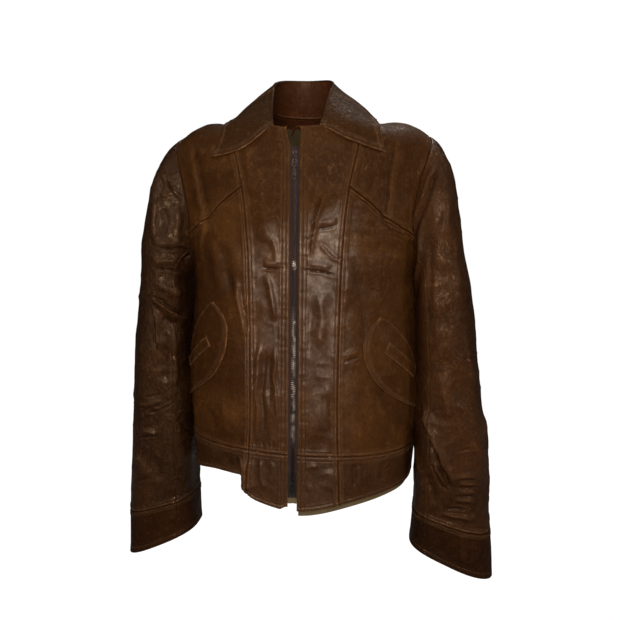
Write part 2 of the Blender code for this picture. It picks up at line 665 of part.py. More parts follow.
# slider: front and back plates, side flanges, the web between the rows and the bail
HALF = 0.0062
low, high = SLIDER_AT - HALF, SLIDER_AT + HALF
front = (TAPE_LIFT + 0.0018, TAPE_LIFT + 0.0032)
rear = (TAPE_LIFT - 0.0032, TAPE_LIFT - 0.0018)
BAIL = front[1] + 0.0014  # the tab's hinge line stands this far out
pivot = on_zip(0.0, SLIDER_AT + 0.0005, BAIL)
slider = add("zip_slider_body", box_mesh("front", (-0.0046, 0.0046), (low, high), front), "metal", smooth=False)
merged(slider, [
    box_mesh("web", (-0.00035, 0.00035), (SLIDER_AT + 0.001, high - 0.0008), (rear[0] + 0.0004, front[1] - 0.0004)),
    box_mesh("rear", (-0.0046, 0.0046), (low, high), rear),
    box_mesh("flange_l", (0.0038, 0.0044), (low + 0.0003, high - 0.0003), (TAPE_LIFT + 0.0008, front[1] - 0.0005)),
    box_mesh("flange_r", (-0.0044, -0.0038), (low + 0.0003, high - 0.0003), (TAPE_LIFT + 0.0008, front[1] - 0.0005)),
    box_mesh("leg_top", (-0.0007, 0.0007), (SLIDER_AT + 0.0027, SLIDER_AT + 0.0037), (front[1] - 0.0004, BAIL + 0.0021)),
    box_mesh("leg_low", (-0.0007, 0.0007), (SLIDER_AT - 0.0027, SLIDER_AT - 0.0017), (front[1] - 0.0004, BAIL + 0.0021)),
    box_mesh("bail", (-0.0005, 0.0005), (SLIDER_AT - 0.0024, SLIDER_AT + 0.0034), (BAIL + 0.0012, BAIL + 0.0019)),
])

# pull tab: hinge bar under the bail, plate hanging below it with the bail through its eye
tab = add("zip_pull_tab", box_mesh("tab", (-0.0027, 0.0027), (SLIDER_AT - 0.0245, SLIDER_AT + 0.0011),
                                   (BAIL - 0.0005, BAIL + 0.0005)), "metal", smooth=False, origin=tuple(float(k) for k in pivot))
eye = box_mesh("eye", (-0.0015, 0.0015), (SLIDER_AT - 0.0052, SLIDER_AT - 0.0002), (BAIL - 0.002, BAIL + 0.002))
hole = box_mesh("hole", (-0.0012, 0.0012), (SLIDER_AT - 0.0222, SLIDER_AT - 0.0172), (BAIL - 0.002, BAIL + 0.002))
cut(tab, [eye, hole])

# ---------------------------------------------------------------- hang loop
# flat run across the neck with both ends turned down to the neck facing
path = ((-0.029, -0.016), (-0.027, -0.008), (-0.0215, -0.0015), (-0.017, 0.0), (0.017, 0.0),
        (0.0215, -0.0015), (0.027, -0.008), (0.029, -0.016))
points = np.array([[(x, HANG_ORIGIN[1] + w, HANG_ORIGIN[2] + z) for w in (-0.004, 0.004)] for x, z in path])
loop = add("hang_loop", grid_mesh("loop", points, np.broadcast_to(np.array([0, 0, -1.0]), points.shape)), "leather")
solid = loop.modifiers.new("thickness", "SOLIDIFY")
solid.thickness = 0.0016
solid.offset = -1
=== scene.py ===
"""Looks of the zip-front leather jacket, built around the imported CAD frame.

Every piece is laid on the same surfaces as the CAD panels. Those surfaces are then
shaped by three things: drape from a cloth simulation, a list of folds, and small
wrinkles. Seams, stitches, edges and the zip are modelled on top of that.
"""

import math

import bpy
import numpy as np
from mathutils import Matrix, Vector


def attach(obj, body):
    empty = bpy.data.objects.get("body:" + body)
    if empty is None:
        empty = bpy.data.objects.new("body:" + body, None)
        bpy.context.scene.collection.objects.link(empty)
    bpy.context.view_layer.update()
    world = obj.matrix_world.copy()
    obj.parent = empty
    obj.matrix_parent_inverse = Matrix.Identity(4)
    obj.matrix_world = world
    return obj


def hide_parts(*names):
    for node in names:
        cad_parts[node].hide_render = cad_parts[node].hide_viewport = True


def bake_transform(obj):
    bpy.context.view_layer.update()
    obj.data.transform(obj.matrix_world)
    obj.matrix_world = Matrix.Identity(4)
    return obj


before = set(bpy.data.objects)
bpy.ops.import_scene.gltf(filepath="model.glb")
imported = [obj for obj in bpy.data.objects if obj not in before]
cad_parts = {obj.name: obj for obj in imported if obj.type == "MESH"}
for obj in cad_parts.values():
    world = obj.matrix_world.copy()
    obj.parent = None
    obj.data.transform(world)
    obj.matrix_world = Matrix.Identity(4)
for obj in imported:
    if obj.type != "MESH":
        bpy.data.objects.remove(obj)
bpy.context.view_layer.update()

# ------------------------------------------------------------ the CAD surfaces
HANG = np.array([0.0, 0.046, 0.574])  # world origin, in the cutting frame
# body rings: t, side height, half width, front height, back height, back depth
RINGS = (
    (0.00, 0.036, 0.172, 0.000, 0.028, 0.118),
    (0.15, 0.090, 0.176, 0.085, 0.090, 0.122),
    (0.35, 0.190, 0.178, 0.188, 0.190, 0.126),
    (0.60, 0.335, 0.1715, 0.325, 0.335, 0.134),
    (0.70, 0.400, 0.182, 0.390, 0.400, 0.136),
    (0.80, 0.475, 0.197, 0.450, 0.468, 0.130),
    (0.87, 0.533, 0.203, 0.492, 0.518, 0.118),
    (0.92, 0.562, 0.180, 0.519, 0.548, 0.104),
    (0.96, 0.583, 0.128, 0.543, 0.572, 0.088),
    (1.00, 0.602, 0.072, 0.563, 0.590, 0.070),
)
FRONT_DEPTH_HEM = 0.137  # the zip line is straight and leans back this much per metre
FRONT_LEAN = 0.063
HEM_TILT = 0.045  # the hem hangs lower on the wearer's left

BAND_TOP = 0.15  # t of the waistband seam
ARM_LOW, ARM_TOP = 0.62, 0.905  # t of the armpit and of the shoulder point
ARM_OPEN = math.radians(21)
NECK_TOP = 1.0
PRINCESS = ((0.0, 27.5), (0.30, 27.5), (0.60, 30.5), (0.74, 33.5), (0.83, 37.0), (0.91, 42.5), (1.0, 48.0))
BACK_PRINCESS = 148.0
BACK_YOKE = 0.80
# front yoke seam: share of the way from princess seam to armhole, t
YOKE = ((0.0, 0.830), (0.33, 0.794), (0.62, 0.752), (1.0, 0.712))
FACING = ((0.0, 22.0), (0.6, 24.0), (0.83, 29.0), (1.0, 40.0))

# sleeve lines: s, outer x and z, inner x and z, half depth, middle y
SLEEVE = (
    (0.00, 0.1920, 0.556, 0.1600, 0.348, 0.072, 0.000),
    (0.05, 0.2170, 0.542, 0.1705, 0.342, 0.080, 0.000),
    (0.09, 0.2335, 0.514, 0.1765, 0.335, 0.084, 0.000),
    (0.15, 0.2450, 0.462, 0.1800, 0.320, 0.088, -0.001),
    (0.24, 0.2540, 0.395, 0.1810, 0.295, 0.088, -0.002),
    (0.36, 0.2650, 0.310, 0.1825, 0.250, 0.084, -0.005),
    (0.57, 0.2770, 0.160, 0.1818, 0.145, 0.074, -0.011),
    (0.79, 0.2860, 0.000, 0.1790, 0.022, 0.061, -0.019),
    (1.00, 0.2900, -0.128, 0.1740, -0.074, 0.050, -0.027),
)
SLEEVE_DROP = {1: 0.003, -1: -0.004}  # the wearer's left sleeve hangs a little lower
# the wearer's left sleeve is slimmer above the elbow and stands out further below it
SLEEVE_SWAY = {-1: ((0, 0.0), (1, 0.0)),
               1: ((0, 0.0), (0.05, -0.003), (0.09, -0.007), (0.15, -0.009), (0.24, -0.009), (0.36, -0.005),
                   (0.57, 0.002), (0.79, 0.009), (1.0, 0.013))}
CUFF = 0.875
SLEEVE_GAP = 0.0003  # drawn closed here; the CAD leaves 1.6 mm
TOP_SLEEVE = 125.0  # the top sleeve covers this many degrees each way

# zip, measured along its line from z = 0 and across it
ZIP_LOW, ZIP_HIGH = 0.044, 0.524
TOOTH_PITCH = 0.005
TAPE_IN, TAPE_OUT = 0.0036, 0.0180
LEATHER_EDGE = 0.0068  # the front panels stop this far from the middle
SLIDER_AT = 0.5120
TAPE_LIFT = -0.0023  # the tape's middle, against the leather's outer face

def spline(t, ts, vs):
    """Cubic through the knots, with slopes from their neighbours."""
    ts, vs = np.asarray(ts, float), np.asarray(vs, float)
    t = np.clip(np.asarray(t, float), ts[0], ts[-1])
    m = np.empty_like(vs)
    m[1:-1] = (vs[2:] - vs[:-2]) / (ts[2:] - ts[:-2])
    m[0] = (vs[1] - vs[0]) / (ts[1] - ts[0])
    m[-1] = (vs[-1] - vs[-2]) / (ts[-1] - ts[-2])
    i = np.clip(np.searchsorted(ts, t, side="right") - 1, 0, len(ts) - 2)
    h = ts[i + 1] - ts[i]
    x = (t - ts[i]) / h
    return (
        (1 + 2 * x) * (1 - x) ** 2 * vs[i]
        + x * (1 - x) ** 2 * h * m[i]
        + x * x * (3 - 2 * x) * vs[i + 1]
        + x * x * (x - 1) * h * m[i + 1]
    )


def column(table, k):
    return [row[k] for row in table]


def along(table, t):
    return spline(t, column(table, 0), column(table, 1))


def front_depth(z):
    return FRONT_DEPTH_HEM - FRONT_LEAN * (z - 0.03)


def torso(phi, t):
    """Point of the body's outer face: phi is 0 at the centre front and 90 degrees
    at the wearer's left side, t is 0 at the hem and 1 at the neck seam."""
    phi, t = np.broadcast_arrays(np.asarray(phi, float), np.asarray(t, float))
    zs, a, zf, zb, bb = (spline(t, column(RINGS, 0), column(RINGS, k)) for k in range(1, 6))
    s, c = np.sin(phi), np.cos(phi)
    b = np.where(c > 0, front_depth(zf), bb)
    n = 2.6 - 0.4 * np.clip((t - 0.7) / 0.3, 0, 1)
    r = ((np.abs(s) / a) ** n + (np.abs(c) / b) ** n) ** (-1 / n)
    # near the hem the middle hangs lower than the sides over a narrower stretch
    z = zs + (np.where(c > 0, zf, zb) - zs) * np.abs(c) ** (4.0 - 2.4 * np.clip(t / 0.3, 0, 1))
    x = r * s
    z = z - HEM_TILT * x * np.clip(1 - t / 0.6, 0, 1)
    return np.stack([x, -r * c, z], -1)


def armhole(angle):
    """(phi, t) of the wearer's left armhole: 0 is the shoulder point, 90 degrees the
    front, 180 the armpit."""
    t = (ARM_LOW + ARM_TOP) / 2 + (ARM_TOP - ARM_LOW) / 2 * np.cos(angle)
    return math.pi / 2 - ARM_OPEN * np.sin(angle), t


def arm_opening(t):
    c = (np.asarray(t, float) - (ARM_LOW + ARM_TOP) / 2) / ((ARM_TOP - ARM_LOW) / 2)
    return ARM_OPEN * np.sqrt(np.clip(1 - c * c, 0, 1))


def sleeve(angle, s, side=1):
    """Point of a sleeve's outer face, drawn on the +X side. angle is 0 on the outer line and
    90 degrees at the front; s is 0 at the armhole and 1 at the cuff's edge."""
    angle, s = np.broadcast_arrays(np.asarray(angle, float), np.asarray(s, float))
    ox, oz, ix, iz, d, cy = (spline(s, column(SLEEVE, 0), column(SLEEVE, k)) for k in range(1, 7))
    ox = ox + along(SLEEVE_SWAY[side], s)
    c, q = np.cos(angle), np.sin(angle)
    # squarer on the inner side, where the sleeve lies against the body
    n = np.where(c > 0, 2.2, 2.2 + 0.9 * np.clip(-c * 3, 0, 1))
    r = (np.abs(c) ** n + np.abs(q) ** n) ** (-1 / n)
    c, q = c * r, q * r
    x = (ox + ix) / 2 + (ox - ix) / 2 * c
    z = (oz + iz) / 2 + (oz - iz) / 2 * c
    y = cy - d * q
    ring = np.stack([x, y, z], -1)
    hole = torso(*armhole(angle))
    hole[..., 0] += SLEEVE_GAP
    w = np.clip(s / 0.13, 0, 1)
    w = (w * w * (3 - 2 * w))[..., None]
    return hole * (1 - w) + ring * w


def normals(f, u, v, e=1e-4):
    a = f(u + e, v) - f(u - e, v)
    b = f(u, v + e) - f(u, v - e)
    n = np.cross(a, b)
    return n / np.linalg.norm(n, axis=-1, keepdims=True)


def on_torso(phi, t, lift=0.0):
    t = np.clip(t, 0.002, 0.998)
    return torso(phi, t) + lift * normals(torso, phi, t)


def zip_frame():
    along_zip = np.array([0.0, FRONT_LEAN, 1.0])
    along_zip /= np.linalg.norm(along_zip)
    out = np.array([0.0, -1.0, FRONT_LEAN])
    return along_zip, out / np.linalg.norm(out)


def on_zip(x, z, lift):
    """x across the zip, z as a height, lift outward from the leather's face."""
    x, z, lift = np.broadcast_arrays(*(np.asarray(k, float) for k in (x, z, lift)))
    base = np.stack([x, -front_depth(z), z], -1)
    return base + lift[..., None] * zip_frame()[1]


def mix(a, b, f):
    return a + (b - a) * f


def princess(t):
    return np.radians(along(PRINCESS, t))


def centre_edge(t):
    """phi where the front panel stops beside the zip."""
    t = np.asarray(t, float)
    return np.arctan2(LEATHER_EDGE, front_depth(spline(t, column(RINGS, 0), column(RINGS, 3))))


def arm_front(t):
    return math.pi / 2 - arm_opening(t)


def arm_back(t):
    return math.pi / 2 + arm_opening(t)


def yoke_t(u):
    return float(along(YOKE, u))


LEAF_FRONT = ((0.0, 52.0, 0.560), (0.16, 44.6, 0.520), (0.34, 42.4, 0.468), (0.52, 44.6, 0.410),
              (0.72, 51.5, 0.350), (0.88, 64.0, 0.300), (1.0, 76.0, 0.268))
LEAF_BACK = ((0.0, 54.5, 0.556), (0.16, 60.0, 0.530), (0.34, 66.5, 0.490), (0.52, 72.5, 0.442),
             (0.72, 77.5, 0.382), (0.88, 79.5, 0.320), (1.0, 79.0, 0.272))
WELT_A, WELT_B = (54.5, 0.452), (73.5, 0.372)  # ends of the welt's middle line
LEAF_DROP = {1: 0.03, -1: 0.0}  # the top of the wearer's left patch sits a little lower


def leaf(v, u):
    """(phi, t) of the pocket patch: v runs down it and u across it."""
    ks = column(LEAF_FRONT, 0)
    f = [np.radians(spline(v, ks, column(LEAF_FRONT, 1))), spline(v, ks, column(LEAF_FRONT, 2))]
    b = [np.radians(spline(v, ks, column(LEAF_BACK, 1))), spline(v, ks, column(LEAF_BACK, 2))]
    return mix(f[0], b[0], u), mix(f[1], b[1], u)


COLLAR_FRONT = 28.0  # degrees from the middle where the collar starts
COLLAR_SEAM = 76.0  # where its leaves are joined
# outer edge of the leaf: angle on the neck seam, then phi and t on the body
LEAF_EDGE = ((28.0, 51.5, 0.874), (48.0, 62.0, 0.926), (70.0, 73.5, 0.962), (95.0, 92.0, 0.970),
             (125.0, 122.0, 0.962), (155.0, 152.0, 0.952), (180.0, 180.0, 0.948))
# fold line: angle, x, y, z
FOLD = ((28.0, 0.0440, -0.0880, 0.5670), (48.0, 0.0485, -0.0640, 0.5900), (70.0, 0.0490, -0.0350, 0.6120),
        (95.0, 0.0475, -0.0030, 0.6270), (125.0, 0.0400, 0.0280, 0.6350), (155.0, 0.0220, 0.0480, 0.6390),
        (180.0, 0.0, 0.0540, 0.6400))


def collar_base(angle):
    """Where the collar leaves the neck seam, just above the body panels."""
    return on_torso(np.radians(angle), 0.998, 0.0006) + np.array([0, 0, 0.0012])


def full_turn(table, angle, k, odd):
    """A table given for one half, read at any angle from 28 to 332 degrees."""
    half = np.where(angle > 180, 360 - angle, angle)
    value = spline(half, column(table, 0), column(table, k))
    return np.where(angle > 180, -value, value) if odd else value


def fold_line(angle):
    return np.stack([full_turn(FOLD, angle, 1, True), full_turn(FOLD, angle, 2, False),
                     full_turn(FOLD, angle, 3, False)], -1)


def collar_leaf(angle, v, lift):
    """v is 0 on the fold line and 1 on the leaf's outer edge."""
    half = np.where(angle > 180, 360 - angle, angle)
    edge_phi = spline(half, column(LEAF_EDGE, 0), column(LEAF_EDGE, 1))
    edge_phi = np.radians(np.where(angle > 180, 360 - edge_phi, edge_phi))
    edge_t = spline(half, column(LEAF_EDGE, 0), column(LEAF_EDGE, 2))
    phi = mix(np.radians(angle), edge_phi, v)
    t = mix(0.996, edge_t, v)
    rise = fold_line(angle) - torso(np.radians(angle), 0.996)
    fade = ((1 - v) ** 1.6)[..., None]
    base = torso(phi, t)
    out = normals(torso, phi, t)
    return base + rise * fade + out * (lift + 0.0016 * np.sin(math.pi * v)[..., None])


def collar_out(angle, v, lift):
    f = lambda a, b: collar_leaf(a, np.clip(b, 0, 1), lift)
    a = f(angle + 0.2, v) - f(angle - 0.2, v)
    b = f(angle, np.minimum(v + 0.01, 1)) - f(angle, np.maximum(v - 0.01, 0))
    n = np.cross(a, -b)
    return n / np.linalg.norm(n, axis=-1, keepdims=True)



# Folds: surface, kind, height and width in mm, and points along it. A body point is
# (degrees round from the centre front, share of the height); a sleeve point is
# (degrees round from the outer line, share of the length).
FOLDS = (
    ("body", "fold", -3.6, 11, ((-68.2, 0.914), (-60.8, 0.849), (-58.8, 0.806), (-56, 0.749), (-57.2, 0.7), (-63, 0.638))),
    ("body", "ridge", 2.6, 5, ((-39.5, 0.64), (-37.8, 0.591), (-34.5, 0.535), (-32.5, 0.474))),
    ("body", "groove", 1.6, 4, ((-35.5, 0.619), (-34, 0.575), (-31.8, 0.529), (-30, 0.484))),
    ("body", "ridge", 2.2, 12, ((-52, 0.715), (-50, 0.64), (-44.5, 0.569))),
    ("body", "groove", 2.0, 10, ((-46.2, 0.709), (-43, 0.633), (-39.5, 0.573))),
    ("body", "crease", 2.0, 2.6, ((-22.5, 0.655), (-17, 0.654), (-10, 0.655), (-4.2, 0.657))),
    ("body", "ridge", 2.2, 6, ((-21.8, 0.667), (-15.8, 0.666), (-7.3, 0.669))),
    ("body", "ridge", 2.0, 6, ((-20.8, 0.644), (-18, 0.623), (-14.8, 0.581), (-12.5, 0.521))),
    ("body", "ridge", 1.8, 6, ((-15.2, 0.728), (-13, 0.69), (-12.2, 0.665))),
    ("body", "ridge", 3.0, 3.8, ((-21.8, 0.476), (-23.2, 0.42), (-23.5, 0.367), (-24, 0.316), (-22.2, 0.269), (-22.8, 0.209), (-22.8, 0.166))),
    ("body", "groove", 1.8, 4.2, ((-18.5, 0.46), (-19.2, 0.386), (-20.2, 0.318), (-18.5, 0.265), (-19, 0.199))),
    ("body", "ridge", 2.2, 3.6, ((-13.2, 0.461), (-11.8, 0.405), (-12.8, 0.371), (-11.2, 0.335), (-9.8, 0.239))),
    ("body", "groove", 1.2, 4.5, ((-16.2, 0.443), (-15.5, 0.365), (-14.5, 0.279))),
    ("body", "crease", 1.2, 2.4, ((-74.8, 0.271), (-59, 0.276), (-53.8, 0.274))),
    ("body", "groove", 1.4, 8, ((-55.2, 0.266), (-50.5, 0.221), (-49, 0.184))),
    ("body", "ridge", 1.5, 7, ((-44.2, 0.296), (-41.5, 0.231), (-41.2, 0.181))),
    ("body", "crease", 1.4, 2.4, ((-67.2, 0.408), (-58.8, 0.448), (-53, 0.484))),
    ("body", "crease", 1.2, 2.2, ((-19.5, 0.184), (-18.8, 0.166))),
    ("body", "crease", 1.2, 2.2, ((-15.8, 0.189), (-15.2, 0.168))),
    ("body", "crease", 1.2, 2.2, ((-12.5, 0.188), (-12.5, 0.166))),
    ("body", "ridge", 1.4, 9, ((-37.2, 0.943), (-32.8, 0.87), (-27.8, 0.807))),
    ("body", "ridge", 1.6, 10, ((-23.5, 0.797), (-20.5, 0.745), (-18.8, 0.704))),
    ("body", "ridge", 1.8, 3.2, ((-20.2, 0.133), (-19.2, 0.081), (-16.8, 0.041))),
    ("body", "ridge", 1.2, 3.2, ((-13.5, 0.131), (-12.2, 0.105), (-14, 0.064))),
    ("body", "fold", 6.0, 8, ((-33, 0.12), (-31.8, 0.069), (-30.5, 0.003), (-28.8, 0))),
    ("body", "groove", 2.0, 8, ((-41, 0.129), (-39.2, 0.066), (-38.5, 0.022))),
    ("body", "ridge", 1.2, 8, ((-48.8, 0.129), (-48.5, 0.056))),
    ("body", "fold", 2.6, 4.6, ((22.2, 0.833), (17, 0.79), (14, 0.749), (12.2, 0.708), (10, 0.674))),
    ("body", "ridge", 1.3, 5, ((16.5, 0.756), (23.2, 0.759), (30, 0.764))),
    ("body", "crease", 1.2, 2.6, ((16.5, 0.744), (22.5, 0.745), (28.8, 0.749))),
    ("body", "fold", -1.6, 3.6, ((18.5, 0.714), (22.5, 0.696), (27, 0.68), (33.8, 0.667))),
    ("body", "crease", 2.1, 2.6, ((3, 0.652), (8.8, 0.652), (21.5, 0.647), (28.8, 0.636))),
    ("body", "ridge", 1.7, 7, ((7.3, 0.667), (17, 0.665), (26, 0.657))),
    ("body", "ridge", 1.8, 6, ((33.5, 0.686), (35.5, 0.647), (34.2, 0.598), (33.2, 0.54))),
    ("body", "groove", 2.6, 9, ((38, 0.666), (41.5, 0.595), (42.8, 0.501), (43.2, 0.434))),
    ("body", "ridge", 2.0, 10, ((48, 0.69), (51.2, 0.623), (51, 0.544))),
    ("body", "crease", 1.0, 2.4, ((46.5, 0.603), (52.5, 0.593))),
    ("body", "fold", 3.4, 11, ((63, 0.911), (57.7, 0.868), (55.8, 0.821), (55, 0.782), (55.2, 0.746), (57.5, 0.708))),
    ("body", "crease", 1.8, 2.6, ((31, 0.42), (35.2, 0.425), (39.8, 0.432))),
    ("body", "ridge", 1.6, 5, ((31.3, 0.434), (35.8, 0.441), (39.5, 0.451))),
    ("body", "groove", 1.3, 7, ((49.5, 0.355), (53.2, 0.306), (56.5, 0.254), (58.5, 0.219))),
    ("body", "ridge", 1.3, 7, ((43.2, 0.37), (45.8, 0.309), (47, 0.242))),
    ("body", "ridge", 1.6, 9, ((18.2, 0.608), (19.2, 0.531), (16.5, 0.453))),
    ("body", "groove", 1.2, 8, ((10.8, 0.583), (10.8, 0.492), (9.2, 0.425))),
    ("body", "ridge", 1.2, 9, ((22.5, 0.371), (21, 0.288), (20.8, 0.211))),
    ("body", "ridge", 1.6, 12, ((45.2, 0.772), (48, 0.729), (52, 0.696))),
    ("body", "groove", 1.2, 6, ((51.2, 0.849), (48.5, 0.824), (46.5, 0.805))),
    ("body", "ridge", 1.5, 1.7, ((58.2, 0.733), (61.5, 0.724), (65.8, 0.718))),
    ("body", "ridge", 1.5, 1.7, ((58.5, 0.723), (61.8, 0.715), (65.2, 0.708))),
    ("body", "ridge", 1.4, 1.7, ((58.5, 0.713), (61.3, 0.705), (65, 0.699))),
    ("body", "ridge", 1.4, 1.7, ((-68.2, 0.749), (-61.3, 0.748), (-56, 0.753))),
    ("body", "ridge", 1.4, 1.7, ((-68, 0.738), (-61.5, 0.738), (-56.8, 0.741))),
    ("body", "ridge", 1.8, 2.6, ((-16, 0.966), (-11, 0.959), (-5.5, 0.968), (-3, 0.985))),
    ("body", "ridge", 1.5, 2.6, ((-14.8, 0.946), (-9.2, 0.939), (-3, 0.945))),
    ("body", "crease", 1.2, 2.2, ((-14.3, 0.956), (-8.5, 0.95), (-3, 0.958))),
    ("body", "ridge", 1.6, 4, ((8.5, 0.115), (11.8, 0.124), (16, 0.122))),
    ("body", "ridge", 1.4, 4, ((8, 0.113), (8.5, 0.081), (11.8, 0.054))),
    ("body", "groove", 1.6, 3.4, ((36, 0.134), (36, 0.096), (35.8, 0.045))),
    ("body", "ridge", 1.4, 4, ((38.2, 0.126), (38.5, 0.086), (37.8, 0.045))),
    ("body", "ridge", 1.6, 12, ((23, 0.119), (23.2, 0.084), (21.5, 0.05))),
    ("body", "groove", 1.5, 7, ((50, 0.124), (51, 0.074), (49.8, 0.048))),
    ("right", "crease", 2.2, 2.8, ((57.5, 0.073), (68, 0.07), (76.5, 0.055), (85, 0.033))),
    ("right", "crease", 1.6, 2.4, ((63, 0.092), (72.5, 0.072), (79, 0.053))),
    ("right", "ridge", 2.2, 6, ((49, 0.08), (63.5, 0.078), (71.5, 0.09))),
    ("right", "ridge", 2.6, 7, ((61.5, 0.105), (74, 0.127), (83, 0.158))),
    ("right", "groove", 2.0, 6, ((76.5, 0.092), (89.5, 0.097), (95, 0.12))),
    ("right", "ridge", 2.2, 8, ((84.5, 0.065), (99, 0.07), (110, 0.092))),
    ("right", "crease", 3.0, 3.2, ((73, 0.192), (109, 0.113), (120.5, 0.072), (131, 0.008))),
    ("right", "ridge", 2.2, 6, ((76.5, 0.172), (105, 0.108), (114.5, 0.068))),
    ("right", "crease", 2.4, 2.8, ((80, 0.24), (108, 0.182), (129.5, 0.122), (151, 0.078))),
    ("right", "ridge", 2.4, 7, ((81, 0.218), (110, 0.147), (126.5, 0.103))),
    ("right", "groove", 3.0, 5, ((130, 0.09), (131.5, 0.065), (131, 0.008))),
    ("right", "fold", -5.0, 6, ((85, 0.32), (100, 0.303), (120, 0.297), (138, 0.3), (152.5, 0.287))),
    ("right", "fold", 3.5, 5, ((86.5, 0.332), (94, 0.36), (97, 0.415), (102, 0.447))),
    ("right", "ridge", 3.0, 8, ((89, 0.265), (114, 0.237), (139, 0.217))),
    ("right", "groove", 2.4, 6, ((113, 0.333), (123.5, 0.34), (137, 0.328))),
    ("right", "ridge", 2.2, 6, ((120, 0.36), (126.5, 0.395), (129.5, 0.443))),
    ("right", "ridge", 2.4, 6, ((128, 0.428), (129.5, 0.497), (125, 0.538))),
    ("right", "groove", 2.2, 7, ((113.5, 0.41), (115, 0.467), (112.5, 0.53))),
    ("right", "crease", 1.6, 2.6, ((47.5, 0.625), (93, 0.61), (111.5, 0.597), (132.5, 0.573))),
    ("right", "ridge", 1.8, 5, ((58.5, 0.602), (86, 0.592), (108.5, 0.575))),
    ("right", "crease", 1.2, 2.4, ((75.5, 0.577), (90, 0.57), (105, 0.56))),
    ("right", "crease", 1.4, 2.6, ((31, 0.612), (64, 0.602), (82, 0.602))),
    ("right", "ridge", 2.0, 5, ((69, 0.658), (85.5, 0.66), (98.5, 0.665))),
    ("right", "crease", 1.6, 2.8, ((64, 0.677), (83.5, 0.673), (100, 0.67))),
    ("right", "ridge", 2.4, 8, ((53, 0.715), (70.5, 0.747), (76, 0.778))),
    ("right", "crease", 1.6, 3, ((46, 0.792), (68, 0.783), (84, 0.777))),
    ("right", "groove", 1.6, 9, ((84.5, 0.718), (98.5, 0.76), (101, 0.795))),
    ("right", "ridge", 1.4, 8, ((130, 0.63), (134.5, 0.705), (143, 0.782))),
    ("right", "crease", 1.6, 3.0, ((133, 0.632), (147, 0.667), (172, 0.7))),
    ("right", "groove", 1.2, 8, ((82.5, 0.853), (83, 0.908), (76.5, 0.957))),
    ("right", "ridge", 1.2, 8, ((119, 0.848), (120, 0.905), (116, 0.945))),
    ("left", "fold", -5.5, 7, ((42, 0.08), (62, 0.067), (71.5, 0.068), (83.5, 0.062), (96, 0.042), (107, 0), (118, 0.008))),
    ("left", "ridge", 3.6, 6, ((83.5, 0.073), (101.5, 0.063), (122.5, 0.085), (144.5, 0.102), (175, 0.21), (-177, 0.375), (161, 0.472))),
    ("left", "groove", 2.0, 7, ((98.5, 0.093), (112.5, 0.132), (121, 0.245), (127, 0.34))),
    ("left", "ridge", 1.6, 9, ((56.5, 0.1), (65, 0.122), (77.5, 0.157))),
    ("left", "groove", 2.0, 9, ((52.5, 0.108), (70, 0.113), (80.5, 0.123))),
    ("left", "ridge", 1.8, 12, ((50, 0.195), (54, 0.28), (69, 0.343))),
    ("left", "groove", 1.6, 12, ((86.5, 0.197), (90.5, 0.295), (93, 0.392))),
    ("left", "ridge", 1.8, 10, ((59.5, 0.398), (48, 0.477), (43, 0.547))),
    ("left", "groove", 1.6, 9, ((94, 0.422), (80.5, 0.507), (70.5, 0.575))),
    ("left", "ridge", 1.8, 9, ((110, 0.47), (100.5, 0.535), (88, 0.597))),
    ("left", "crease", 1.4, 3, ((64.5, 0.463), (41, 0.47), (6, 0.487))),
    ("left", "fold", 6.0, 9, ((141, 0.55), (127, 0.628), (112, 0.688), (100, 0.725), (88.5, 0.767))),
    ("left", "ridge", 2.6, 5, ((117, 0.707), (107, 0.733), (96.5, 0.758))),
    ("left", "crease", 2.2, 3.0, ((121.5, 0.703), (111, 0.74), (98, 0.772))),
    ("left", "ridge", 2.2, 4.6, ((85.5, 0.73), (62, 0.727), (5.5, 0.743))),
    ("left", "ridge", 2.2, 4.0, ((83, 0.747), (59, 0.745), (5, 0.762))),
    ("left", "ridge", 2.2, 4.0, ((81.5, 0.767), (59.5, 0.763), (5, 0.78))),
    ("left", "ridge", 2.4, 4.6, ((90.5, 0.793), (63.5, 0.787), (5, 0.802))),
    ("left", "ridge", 3.2, 4.4, ((107.5, 0.84), (90.5, 0.837), (71.5, 0.833), (15, 0.85))),
    ("left", "crease", 2.4, 3.0, ((105, 0.823), (76, 0.812), (8.5, 0.827))),
    ("left", "crease", 1.8, 3.0, ((89, 0.738), (62, 0.735), (6.5, 0.752))),
    ("left", "crease", 1.6, 2.8, ((87.5, 0.758), (62.5, 0.753), (6, 0.77))),
    ("left", "crease", 1.6, 2.8, ((90.5, 0.782), (63, 0.775), (6, 0.79))),
    ("left", "ridge", 1.8, 8, ((59, 0.645), (38, 0.678), (5, 0.715))),
    ("left", "crease", 1.4, 3, ((83, 0.67), (63, 0.665), (20, 0.675))),
    ("left", "ridge", 1.6, 8, ((157, 0.667), (140, 0.737), (130.5, 0.805))),
    ("left", "groove", 1.8, 7, ((127, 0.727), (119, 0.777), (112, 0.82))),
    ("left", "groove", 1.2, 8, ((110, 0.855), (106.5, 0.907), (105.5, 0.975))),
    ("left", "ridge", 1.2, 9, ((76, 0.868), (73, 0.922), (73, 0.975))),
    ("body", "ridge", 2.6, 16, ((132, 0.7), (140, 0.56), (146, 0.4), (150, 0.26))),
    ("body", "groove", 2.4, 13, ((118, 0.66), (124, 0.5), (130, 0.34), (132, 0.22))),
    ("body", "fold", 4.0, 13, ((104, 0.66), (109, 0.58), (116, 0.5), (126, 0.44))),
    ("body", "ridge", 2.4, 15, ((222, 0.72), (216, 0.56), (211, 0.4), (208, 0.26))),
    ("body", "groove", 2.2, 12, ((238, 0.66), (233, 0.5), (229, 0.34), (227, 0.22))),
    ("body", "fold", -4.0, 13, ((256, 0.66), (251, 0.57), (244, 0.49), (235, 0.44))),
    ("body", "groove", 1.8, 16, ((176, 0.62), (178, 0.46), (174, 0.3))),
    ("body", "ridge", 1.8, 15, ((190, 0.6), (193, 0.44), (191, 0.28))),
